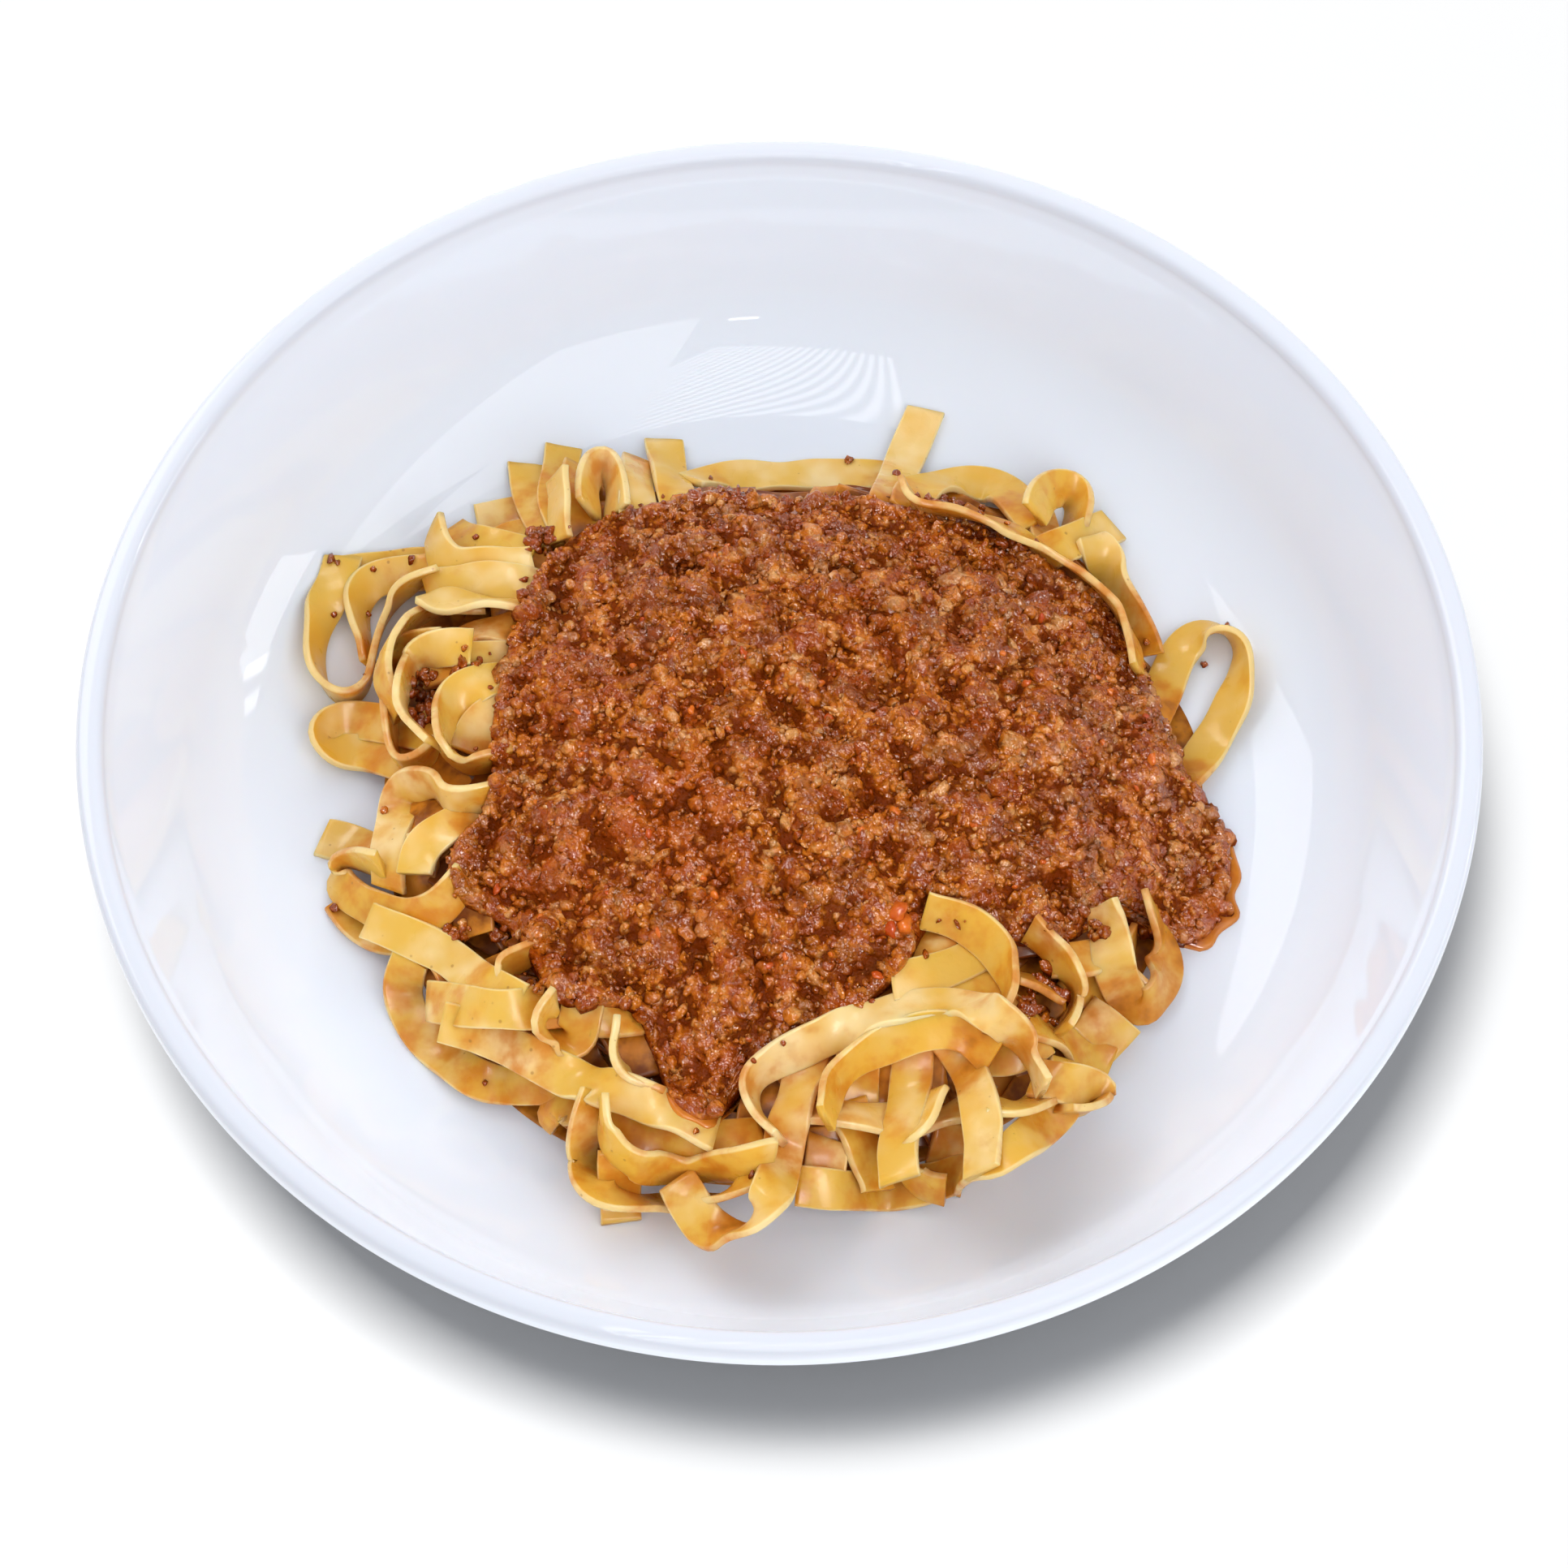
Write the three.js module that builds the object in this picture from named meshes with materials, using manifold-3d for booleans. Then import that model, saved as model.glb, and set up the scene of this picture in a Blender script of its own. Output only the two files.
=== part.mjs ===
// A white bowl of fettuccine with a meat sauce. Millimetres, +Z up.
// The origin is the middle of the bowl's foot, on the plane that it stands on.
import * as THREE from "three";
import { mergeVertices } from "three/addons/utils/BufferGeometryUtils.js";
import Module from "manifold-3d";

const wasm = await Module();
wasm.setup();

// ---- Driving dimensions ----

const BOWL_RADIUS = 125;
const BOWL_HEIGHT = 48;
const FLOOR_LEVEL = 8.5; // upper face of the flat floor
const FLOOR_RADIUS = 82; // where the flat floor starts to rise
const TURN_RADIUS = 30; // the curve between the floor and the wall
const WALL_SLOPE = THREE.MathUtils.degToRad(62);
const WALL_THICKNESS = 4.8;
const LIP_INNER_RADIUS = 120;
const LIP_INNER_LEVEL = 46;
const LIP_BAND = 3; // height of the lip's upright outer band
const FOOT_OUTER_RADIUS = 74;
const FOOT_INNER_RADIUS = 67;
const FOOT_HEIGHT = 3.2;
const BOWL_SIDES = 56;

const GAP = 0.3; // between the bowl, the pasta and the sauce
const SLIVER = 0.02; // edges shorter than this are closed up

const HEAP_CENTRE = { x: 0, y: -2 };
const HEAP_RADIUS = 75; // the inner heap, without the strands that lie over it
const HEAP_HEIGHT = 23;
const HEAP_SIDES = 40;
const HEAP_RINGS = 7;

const STRAND_WIDTH = 7.5;
const STRAND_THICKNESS = 1.8;
const STRAND_STEP = 5.8; // length of one straight stretch of a strand
const STRAND_SINK = 0.9; // how far a strand settles into what it lies on

const SAUCE_DEPTH = 7.5;
const SAUCE_EDGE_DEPTH = 2.2;
const SAUCE_SIDES = 60;
const SAUCE_RINGS = 12;
const MINCE_RELIEF = 1.5; // height of the larger lumps of mince
const MINCE_LUMPS = 170;
const MINCE_SEED = 7;

// The routes below are drawn as the heap shows from a raised place in front of it: x and y are
// read on the level called PLAN_LEVEL, and a point slides along its line to VIEWPOINT until it
// lies on the heap.
const VIEWPOINT = new THREE.Vector3(0.8, -460.6, 829.4);
const PLAN_LEVEL = 20;

// ---- Routes of the strands ----
// Each point is [x, y, roll]. Roll 0 lies flat, 90 stands on edge with its right side up, seen
// along the strand, and -90 with its left side up. Lower strands come first.

const BACK_STRANDS = [
  [[-48, 69, 0], [-47, 63, 0], [-44.5, 57, 0], [-42, 51, 0]],
  [[-41, 73, 0], [-41.5, 68, 0], [-42, 61, -10], [-40, 54, -10]],
  [[-37.5, 68.5, 0], [-38, 61, 0], [-37, 54, 0], [-34, 48, 0]],
  [[-36, 59, -60], [-36.3, 66, -60], [-34, 69.7, -50], [-31.3, 67, -60], [-30.5, 58, -60]],
  [[-26.5, 70, 0], [-27, 65, 0], [-26.5, 58, 0], [-24, 50, 0]],
  [[-22, 74.5, 0], [-21, 68, 0], [-19, 61, 0], [-17, 54, 0]],
  [[-17, 65.5, 12], [-8, 66.3, 12], [2, 66.5, 12], [12, 66.8, 12], [21, 66.5, 8]],
  [[27.8, 81.5, 0], [24.3, 72, 0], [21, 63, 0], [18, 55, 0]],
  [[23.5, 58, 0], [27, 64.5, 0], [36, 65, 0], [43, 63, -5], [48, 56, -10]],
  [[48, 58, -50], [50, 63, -40], [54, 64, -40], [56.5, 61, -50], [55, 54, -50]],
  [[62.5, 55.5, 0], [56, 52.5, 0], [49, 49, 0], [43, 45, 0]],
  [[58, 53, 0], [61.5, 47, -50], [63.5, 41, -65], [65.8, 35, -55], [67.5, 27, -40]],
  [[24, 64, 60], [25.5, 60.5, 55], [32, 58.8, 50], [40, 56.3, 48], [47, 52, 48], [55, 46.3, 48],
    [61, 40, 48], [65, 32, 55], [66, 24, 60]],
];

const LEFT_STRANDS = [
  [[-81, 44.5, 0], [-74, 45.5, 0], [-66, 46.5, 0], [-58, 44, 0]],
  [[-81.5, 48.5, 0], [-84, 42, 0], [-86.2, 34, 15], [-86.2, 27, 40], [-83.5, 20.5, 60],
    [-79.3, 17.5, 78], [-75.8, 20.5, 82], [-74.8, 28, 82], [-72.8, 36, 80], [-70, 41.5, 80],
    [-64, 46, 70]],
  [[-62, 10, 0], [-73, 12.5, 0], [-80.5, 12.8, 5], [-84.3, 9.8, 60], [-81, 6.8, 20],
    [-74, 5.8, 10], [-66, 3.5, 0]],
  [[-63, 9, -80], [-65.5, 5, -80], [-68.5, 3.5, -80], [-71, 6.5, -80], [-71.5, 13, -75],
    [-72.6, 20, -80], [-71.5, 25.5, -80], [-68, 28.5, -70], [-62, 29, -40]],
  [[-70, 14, 80], [-73.5, 23, 80], [-72.3, 30, 78], [-68.5, 34.3, 70], [-63, 36.8, 55],
    [-55, 37.5, 40]],
  [[-63, 8, -70], [-69, 14, -75], [-69.8, 19, -75], [-68, 24.5, -70], [-64.5, 28.3, -50],
    [-57, 29, -20]],
  [[-66, 41.5, 0], [-60, 42.8, 0], [-54, 43.6, 0], [-45, 42, 5]],
  [[-66.5, 39.5, 35], [-60, 38.8, 38], [-53, 38.6, 38], [-44, 38, 30]],
  [[-46, 21.5, 0], [-52, 22, 0], [-57, 20.3, 20], [-61, 16, 50], [-62.3, 10.5, 65],
    [-60.5, 6, 78], [-56.5, 3.6, 85], [-50, 5.5, 80]],
];

const FRONT_LEFT_STRANDS = [
  [[-66, -36, 30], [-67.3, -43, 12], [-64.5, -50, 0], [-58, -57, 0], [-50, -61.5, 0],
    [-38, -61, 0]],
  [[-52, -5, 0], [-59, -8.5, 0], [-64.5, -13, 0], [-66, -19, 0]],
  [[-50, -3, 60], [-60.5, -3.5, 85], [-62, -0.8, 90], [-65, 0.3, 92], [-68.5, -1.8, 60],
    [-69.5, -7, 20], [-71, -14, 0], [-70.5, -22, 0]],
  [[-72, -17, -85], [-76.5, -16.3, -85], [-79.6, -17.5, -85], [-79.5, -21, -50],
    [-75, -25, -25], [-68, -28, -25], [-62, -26.5, -45], [-57, -20, -60]],
  [[-74, -28.5, 0], [-67, -31.7, 0], [-60, -35.3, 0], [-54, -40.5, 0], [-46, -45, 0]],
  [[-62.5, -44.8, 0], [-55, -46, 0], [-48, -46.5, 0], [-39, -46, 10]],
  [[-34.5, -40, 0], [-35.3, -48, 0], [-36.5, -53, -25], [-40.3, -52.8, -70],
    [-42.6, -49, -80], [-40, -44.5, -80]],
  [[-27.5, -88, 0], [-27.8, -83, 0], [-28, -75, 0]],
  [[-32, -63, 60], [-34.3, -71, 55], [-34.3, -78, 52], [-31, -82.5, 50], [-25, -84.3, 48],
    [-17, -84.5, 48], [-10, -83.2, 48], [-3, -77, 50]],
  [[-31, -64, -80], [-30.3, -71.5, -78], [-25.5, -76.8, -72], [-17, -78.3, -72],
    [-9, -77.3, -72], [-1, -75, -72]],
  [[-60, -49, 0], [-52, -51.5, 0], [-44, -56, 0], [-36, -60.5, 0], [-28, -62.8, 0],
    [-20, -66.5, 0], [-11, -71, 0]],
];

const FRONT_RIGHT_STRANDS = [
  [[3, -81, 0], [12, -82, 0], [21, -81.8, 0], [30, -79.3, 0], [38, -75.8, 0], [45, -70.5, 0],
    [50.5, -64.5, 0], [51, -57, 0]],
  [[11.5, -65, 0], [14.5, -73, 0], [17.3, -82, 0]],
  [[45, -60, 0], [53.5, -61.8, -20], [56.8, -63.5, -55], [55.5, -66, -70], [50, -66, -70]],
  [[2, -67, 40], [10, -66.9, 40], [17, -68, 40], [24, -68.6, 40], [31, -66.8, 40],
    [38, -62, 30]],
  [[27, -63, -40], [25, -69.3, -65], [22.3, -73, -75], [22.5, -77.5, -75], [25, -81, -70],
    [29, -82, -60]],
  [[39, -46, 0], [46.5, -50.3, 0], [53.5, -55, 0], [58.5, -58, 0]],
  [[20, -41, 0], [27, -39.5, 0], [34, -36.5, 0], [41, -32, 0]],
  [[45, -30, -50], [50, -35.5, -60], [52.8, -41, -75], [53, -45.5, -75], [50, -51, -75]],
  [[58.5, -25, -80], [59.5, -34, -45], [60.6, -41, -25], [64.3, -46.3, -15],
    [68.3, -42, -30], [68.6, -34, -50], [66.5, -24, -75]],
  [[24, -49, 0], [23.5, -58, 0], [22.6, -65, 0], [20.7, -73, 0], [21, -80, 0]],
  [[27.5, -49, 0], [32.5, -56, 0], [35, -64, 0], [35.8, -71, 0], [35.3, -78.5, 0]],
  [[8, -68, -70], [9.5, -61, -60], [13, -56.8, -45], [19, -53.3, -35], [26, -50.6, -25],
    [33, -51, -25], [38, -56, -40]],
  [[5.7, -53, 0], [4, -60, 0], [1.3, -70, 0], [-0.2, -79, 0], [-2.8, -85.5, -40],
    [-6.5, -90, -50], [-11.5, -89.8, -15], [-14.5, -86.5, 0], [-18, -80, 0]],
  [[26, -26.5, -20], [33, -28.8, -15], [38.3, -33.5, -45], [41, -39, -65], [41.3, -44, -75],
    [38, -49.5, -75]],
  [[0, -72, -70], [-4.8, -66, -66], [-5.2, -60.5, -62], [-1, -56.8, -50], [6, -53, -30],
    [14, -48.8, -20], [22, -46.2, -15], [30, -45.2, -15], [36, -46.2, -25],
    [40.5, -49.5, -50], [44, -54.5, -78], [46.8, -62, -80]],
];

const RIGHT_STRANDS = [
  [[66, 8, 0], [71.3, 20, 0], [74.5, 27.5, 5], [80, 31.8, 15], [85, 28.5, 15], [83.7, 19, 5],
    [79.3, 9, 0], [72, -3, 0]],
];

// The edge of the sauce, drawn in the same way.
const SAUCE_EDGE = [
  [-24, 61], [-12, 64], [2, 61.5], [14, 63], [24, 60], [38, 56], [50, 48], [60, 40], [66, 28],
  [70, 15], [75, 1], [80.5, -8], [82, -17], [78, -30], [70, -33], [60, -28], [50, -33],
  [40, -32], [28, -29], [22, -38], [11, -49], [1, -54], [-6, -62], [-12, -68], [-19, -64],
  [-23, -54], [-27, -46], [-40, -44], [-47, -32], [-58, -23], [-60, -14], [-53, -2],
  [-53, 14], [-50, 32], [-45, 47], [-34, 57],
];

// ---- The surfaces that everything lies on ----

/** The level of the bowl's inner face at a distance from its axis. */
function bowlLevel(radius) {
  const turnEnd = FLOOR_RADIUS + TURN_RADIUS * Math.sin(WALL_SLOPE);
  if (radius <= FLOOR_RADIUS) return FLOOR_LEVEL;
  if (radius <= turnEnd) {
    const run = radius - FLOOR_RADIUS;
    return FLOOR_LEVEL + TURN_RADIUS - Math.sqrt(TURN_RADIUS ** 2 - run ** 2);
  }
  const turnRise = TURN_RADIUS * (1 - Math.cos(WALL_SLOPE));
  return FLOOR_LEVEL + turnRise + (radius - turnEnd) * Math.tan(WALL_SLOPE);
}

/** The inner heap's reach at an angle: a little uneven, with a lobe under the spilt sauce. */
function heapEdge(angle) {
  const uneven = 0.015 * Math.sin(3 * angle + 1) + 0.01 * Math.sin(5 * angle);
  const lobe = 0.05 * Math.exp(-(((angle - 0.2) / 0.3) ** 2));
  return HEAP_RADIUS * (1 + uneven + lobe);
}

/** The level of the inner heap: a dome that steepens towards its edge. */
function heapLevel(x, y) {
  const dx = x - HEAP_CENTRE.x;
  const dy = y - HEAP_CENTRE.y;
  const angle = Math.atan2(dy, dx);
  const reach = Math.min(1, Math.hypot(dx, dy) / heapEdge(angle));
  return FLOOR_LEVEL + HEAP_HEIGHT * (1 - reach ** 2.6) ** 0.72;
}

/** Where a point of the tilted plan lies once it is at the given level. */
function onSightLine(x, y, level) {
  const share = (VIEWPOINT.z - level) / (VIEWPOINT.z - PLAN_LEVEL);
  return {
    x: VIEWPOINT.x + (x - VIEWPOINT.x) * share,
    y: VIEWPOINT.y + (y - VIEWPOINT.y) * share,
  };
}

// ---- Helpers for closed solids ----

/** A repeatable source of numbers from 0 to 1. */
function seededRandom(seed) {
  let state = seed;
  return () => {
    state = (state * 1664525 + 1013904223) % 4294967296;
    return state / 4294967296;
  };
}

/** Makes a solid of a closed triangle mesh. */
function solidOf(positions, triangles) {
  return new wasm.Manifold(new wasm.Mesh({
    numProp: 3,
    vertProperties: new Float32Array(positions),
    triVerts: new Uint32Array(triangles),
  }));
}

/** Makes a solid of a three.js geometry, with its shared corners merged. */
function solidOfGeometry(source) {
  const geometry = source.clone();
  geometry.deleteAttribute("normal");
  geometry.deleteAttribute("uv");
  const merged = mergeVertices(geometry, 1e-3);
  const corners = merged.index.array;
  const triangles = [];
  for (let i = 0; i < corners.length; i += 3) {
    const [a, b, c] = [corners[i], corners[i + 1], corners[i + 2]];
    if (a !== b && b !== c && c !== a) triangles.push(a, b, c);
  }
  return solidOf(merged.attributes.position.array, triangles);
}

/** Makes a three.js geometry of a solid. */
function geometryOf(solid) {
  const mesh = solid.getMesh();
  const geometry = new THREE.BufferGeometry();
  geometry.setAttribute("position", new THREE.BufferAttribute(mesh.vertProperties, 3));
  geometry.setIndex(new THREE.BufferAttribute(mesh.triVerts, 1));
  return geometry;
}

/** Where two corners of a solid meet in one point, each draws back a little to its own side. */
function partTwins(solid) {
  const mesh = solid.getMesh();
  const corners = mesh.vertProperties;
  const triangles = mesh.triVerts;
  const cornerAt = (i) => new THREE.Vector3().fromArray(corners, 3 * i);
  const sharing = new Map();
  for (let i = 0; i < corners.length / 3; i += 1) {
    const place = cornerAt(i).toArray().map((v) => v.toFixed(3)).join();
    sharing.set(place, [...(sharing.get(place) ?? []), i]);
  }
  const twins = new Map([...sharing.values()].filter((group) => group.length > 1).flat()
    .map((i) => [i, { sum: new THREE.Vector3(), count: 0 }]));
  for (let i = 0; i < triangles.length; i += 3) {
    for (let turn = 0; turn < 3; turn += 1) {
      const twin = twins.get(triangles[i + turn]);
      if (!twin) continue;
      twin.sum.add(cornerAt(triangles[i + ((turn + 1) % 3)]));
      twin.count += 1;
    }
  }
  for (const [i, { sum, count }] of twins) {
    const back = sum.divideScalar(count).sub(cornerAt(i)).setLength(2 * SLIVER);
    cornerAt(i).add(back).toArray(corners, 3 * i);
  }
  return solidOf(corners, triangles);
}

/** Closes up slivers and drops loose scraps and sealed hollows: the largest piece is left. */
function tidySolid(solid) {
  let tidy = solid.simplify(SLIVER);
  for (let pass = 0; pass < 3; pass += 1) {
    const rough = geometryOf(tidy).toNonIndexed();
    const corners = rough.attributes.position.array.map((v) => Math.round(v / SLIVER) * SLIVER);
    rough.setAttribute("position", new THREE.BufferAttribute(corners, 3));
    const pieces = solidOfGeometry(rough).decompose();
    tidy = pieces.sort((a, b) => b.volume() - a.volume())[0];
  }
  return partTwins(tidy);
}

/** A lathe of [radius, level] pairs about the upright axis. */
function latheUpright(profile) {
  const points = profile.map(([radius, level]) => new THREE.Vector2(radius, level));
  return new THREE.LatheGeometry(points, BOWL_SIDES).rotateX(Math.PI / 2);
}

/** Points of an arc in the [radius, level] plane, angles in degrees from straight out. */
function arc(centreRadius, centreLevel, size, from, to, steps) {
  return Array.from({ length: steps + 1 }, (_, i) => {
    const angle = THREE.MathUtils.degToRad(from + ((to - from) * i) / steps);
    return [centreRadius + size * Math.cos(angle), centreLevel + size * Math.sin(angle)];
  });
}

/**
 * A closed solid between a top and a bottom, inside an outline round a centre.
 * outline gives the edge's [x, y] for an angle, and top gives the level at a place.
 */
function moundSolid({ centre, outline, sides, rings, top, bottom }) {
  const positions = [centre.x, centre.y, top(centre.x, centre.y, 0)];
  const triangles = [];
  const edge = Array.from({ length: sides }, (_, i) => outline((2 * Math.PI * i) / sides));
  const at = (ring, side) => 1 + (ring - 1) * sides + (side % sides);
  for (let ring = 1; ring <= rings; ring += 1) {
    for (const [x, y] of edge) {
      const px = centre.x + ((x - centre.x) * ring) / rings;
      const py = centre.y + ((y - centre.y) * ring) / rings;
      positions.push(px, py, top(px, py, ring / rings));
    }
  }
  const under = positions.length / 3;
  for (const [x, y] of edge) positions.push(x, y, bottom);
  positions.push(centre.x, centre.y, bottom);
  for (let side = 0; side < sides; side += 1) {
    const next = (side + 1) % sides;
    triangles.push(0, at(1, side), at(1, next));
    for (let ring = 1; ring < rings; ring += 1) {
      triangles.push(at(ring, side), at(ring + 1, side), at(ring + 1, next));
      triangles.push(at(ring, side), at(ring + 1, next), at(ring, next));
    }
    triangles.push(at(rings, side), under + side, under + next);
    triangles.push(at(rings, side), under + next, at(rings, next));
    triangles.push(under + sides, under + next, under + side);
  }
  return solidOf(positions, triangles);
}

// ---- The bowl ----

/** The bowl's closed profile, from the axis below, round the foot and the lip, to the floor. */
function bowlProfile() {
  const turn = arc(FLOOR_RADIUS, FLOOR_LEVEL + TURN_RADIUS, TURN_RADIUS, -28, -90, 5);
  const outerTurn = arc(FLOOR_RADIUS, FLOOR_LEVEL + TURN_RADIUS, TURN_RADIUS + WALL_THICKNESS,
    -72, -28, 3);
  const bandTop = BOWL_HEIGHT - 1.8;
  return [
    [0, FOOT_HEIGHT],
    [FOOT_INNER_RADIUS - 1.5, FOOT_HEIGHT],
    [FOOT_INNER_RADIUS, 0],
    [FOOT_OUTER_RADIUS, 0],
    [FOOT_OUTER_RADIUS + 2, FOOT_HEIGHT],
    ...outerTurn,
    [BOWL_RADIUS - 2.6, bandTop - LIP_BAND - 2.6],
    [BOWL_RADIUS - 0.6, bandTop - LIP_BAND - 1.2],
    [BOWL_RADIUS, bandTop - LIP_BAND],
    [BOWL_RADIUS, bandTop],
    [BOWL_RADIUS - 1, BOWL_HEIGHT - 0.4],
    [BOWL_RADIUS - 2.5, BOWL_HEIGHT],
    [LIP_INNER_RADIUS + 0.9, BOWL_HEIGHT - 0.6],
    [LIP_INNER_RADIUS, LIP_INNER_LEVEL],
    ...turn,
    [0, FLOOR_LEVEL],
  ];
}

/** Everything within GAP of the bowl's inner face, which food keeps out of. */
function bowlClearance() {
  const turn = arc(FLOOR_RADIUS, FLOOR_LEVEL + TURN_RADIUS, TURN_RADIUS - GAP, -28, -90, 5);
  return solidOfGeometry(latheUpright([
    [0, 0],
    [BOWL_RADIUS, 0],
    [BOWL_RADIUS, LIP_INNER_LEVEL],
    [LIP_INNER_RADIUS - GAP, LIP_INNER_LEVEL],
    ...turn,
    [0, FLOOR_LEVEL + GAP],
  ]));
}

// ---- The fettuccine ----

/** The levels of all that is laid so far, on a square grid, so that strands pile up. */
class LaidGround {
  constructor(reach, cell) {
    this.reach = reach;
    this.cell = cell;
    this.size = Math.round((2 * reach) / cell) + 1;
    this.levels = new Float64Array(this.size ** 2);
    for (let i = 0; i < this.levels.length; i += 1) {
      const x = (i % this.size) * cell - reach;
      const y = Math.floor(i / this.size) * cell - reach;
      this.levels[i] = Math.max(heapLevel(x, y), bowlLevel(Math.hypot(x, y)) + GAP);
    }
  }

  indexAt(x, y) {
    const column = Math.round((x + this.reach) / this.cell);
    const row = Math.round((y + this.reach) / this.cell);
    return row * this.size + column;
  }

  level(x, y) {
    return this.levels[this.indexAt(x, y)];
  }

  raise(x, y, level) {
    const index = this.indexAt(x, y);
    this.levels[index] = Math.max(this.levels[index], level);
  }
}

/** The unit vector level with the ground and to the right of a direction. */
function rightOf(direction) {
  return new THREE.Vector3(direction.y, -direction.x, 0).normalize();
}

/** Lays one route on the ground and returns its cross-sections: centre, side and face. */
function layStrand(route, ground) {
  const drawn = route.map(([x, y, roll]) => new THREE.Vector3(x, y, roll / 10));
  const curve = new THREE.CatmullRomCurve3(drawn, false, "catmullrom", 0.5);
  const count = Math.max(4, Math.round(curve.getLength() / STRAND_STEP));
  const plan = curve.getSpacedPoints(count);
  const rolls = plan.map((p) => THREE.MathUtils.degToRad(p.z * 10));
  const half = STRAND_WIDTH / 2;
  let places = plan.map((p) => {
    const first = onSightLine(p.x, p.y, ground.level(p.x, p.y));
    return new THREE.Vector3(first.x, first.y, ground.level(first.x, first.y));
  });
  const directions = () => places.map((_, i) => places[Math.min(i + 1, count)].clone()
    .sub(places[Math.max(i - 1, 0)]).normalize());
  const tilts = new Array(count + 1).fill(0);
  for (let pass = 0; pass < 3; pass += 1) {
    const along = directions();
    const lifted = places.map((p, i) => {
      const right = rightOf(along[i]);
      const spread = half * Math.abs(Math.cos(rolls[i]));
      const levels = [-1, -0.5, 0, 0.5, 1].map((share) => ground.level(
        p.x + right.x * spread * share, p.y + right.y * spread * share));
      const rise = Math.atan2(levels[4] - levels[0], 2 * half) * Math.cos(rolls[i]);
      tilts[i] = THREE.MathUtils.clamp(rise, -0.6, 0.6);
      const rest = (Math.max(...levels.slice(1, 4)) + levels[2]) / 2;
      return rest + half * Math.abs(Math.sin(rolls[i])) * 0.8 + STRAND_THICKNESS / 2 - STRAND_SINK;
    });
    const smooth = lifted.map((level, i) => {
      const before = lifted[Math.max(i - 1, 0)];
      const after = lifted[Math.min(i + 1, count)];
      return Math.max((before + 2 * level + after) / 4, level - STRAND_SINK);
    });
    places = plan.map((p, i) => {
      const spot = onSightLine(p.x, p.y, smooth[i]);
      return new THREE.Vector3(spot.x, spot.y, smooth[i]);
    });
  }
  return directions().map((along, i) => {
    const right = rightOf(along);
    const up = new THREE.Vector3().crossVectors(right, along);
    const roll = rolls[i] + tilts[i];
    const side = right.multiplyScalar(Math.cos(roll)).addScaledVector(up, Math.sin(roll));
    const face = new THREE.Vector3().crossVectors(along, side);
    return { centre: places[i], side, face };
  });
}

/** The four corners of a strand's cross-section. */
function sectionCorners({ centre, side, face }) {
  const half = STRAND_WIDTH / 2;
  const thick = STRAND_THICKNESS / 2;
  return [[1, 1], [-1, 1], [-1, -1], [1, -1]].map(([across, through]) => centre.clone()
    .addScaledVector(side, across * half)
    .addScaledVector(face, through * thick));
}

/** The straight stretches between a strand's cross-sections, each one a closed solid. */
function strandStretches(sections) {
  const triangles = [0, 3, 2, 0, 2, 1, 4, 5, 6, 4, 6, 7];
  for (let edge = 0; edge < 4; edge += 1) {
    const next = (edge + 1) % 4;
    triangles.push(edge, next, next + 4, edge, next + 4, edge + 4);
  }
  return sections.slice(1).map((section, i) => {
    const corners = [...sectionCorners(sections[i]), ...sectionCorners(section)];
    return solidOf(corners.flatMap((corner) => corner.toArray()), triangles);
  });
}

/** Raises the ground to the upper side of a strand that has been laid. */
function pileUp(sections, ground) {
  const shares = [-1, -0.75, -0.5, -0.25, 0, 0.25, 0.5, 0.75, 1];
  for (let i = 0; i + 1 < sections.length; i += 1) {
    for (const step of [0, 0.2, 0.4, 0.6, 0.8]) {
      const centre = sections[i].centre.clone().lerp(sections[i + 1].centre, step);
      for (const share of shares) {
        const spot = centre.clone().addScaledVector(sections[i].side, (share * STRAND_WIDTH) / 2);
        ground.raise(spot.x, spot.y, spot.z + STRAND_THICKNESS / 2);
      }
    }
  }
}

// ---- The sauce ----

/** The sauce's edge where it really lies, as a smooth closed curve. */
function sauceOutline(growth) {
  const middle = { x: 8, y: -4 };
  const placed = SAUCE_EDGE.map(([x, y]) => {
    let spot = { x, y };
    for (let pass = 0; pass < 4; pass += 1) {
      const level = Math.max(heapLevel(spot.x, spot.y), bowlLevel(Math.hypot(spot.x, spot.y)));
      spot = onSightLine(x, y, level + SAUCE_EDGE_DEPTH);
    }
    return new THREE.Vector3(spot.x, spot.y, 0);
  });
  const curve = new THREE.CatmullRomCurve3(placed, true, "centripetal");
  const fine = curve.getPoints(SAUCE_EDGE.length * 12);
  const byAngle = fine.map((p) => ({
    angle: Math.atan2(p.y - middle.y, p.x - middle.x),
    reach: Math.hypot(p.x - middle.x, p.y - middle.y),
  }));
  const outline = (angle) => {
    const turn = Math.atan2(Math.sin(angle), Math.cos(angle));
    const nearest = byAngle.reduce((best, p) => {
      const offset = Math.abs(Math.atan2(Math.sin(p.angle - turn), Math.cos(p.angle - turn)));
      return offset < best.offset ? { offset, reach: p.reach } : best;
    }, { offset: Infinity, reach: 0 });
    const reach = nearest.reach + growth;
    return [middle.x + reach * Math.cos(angle), middle.y + reach * Math.sin(angle)];
  };
  return { middle, outline };
}

/** Seeded lumps of mince that stand up from the sauce: place, radius and height. */
function minceLumps() {
  const random = seededRandom(MINCE_SEED);
  return Array.from({ length: MINCE_LUMPS }, () => ({
    x: -70 + 155 * random(),
    y: -80 + 150 * random(),
    radius: 4 + 3.5 * random(),
    height: MINCE_RELIEF * (0.2 + 0.8 * random()),
  }));
}

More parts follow.
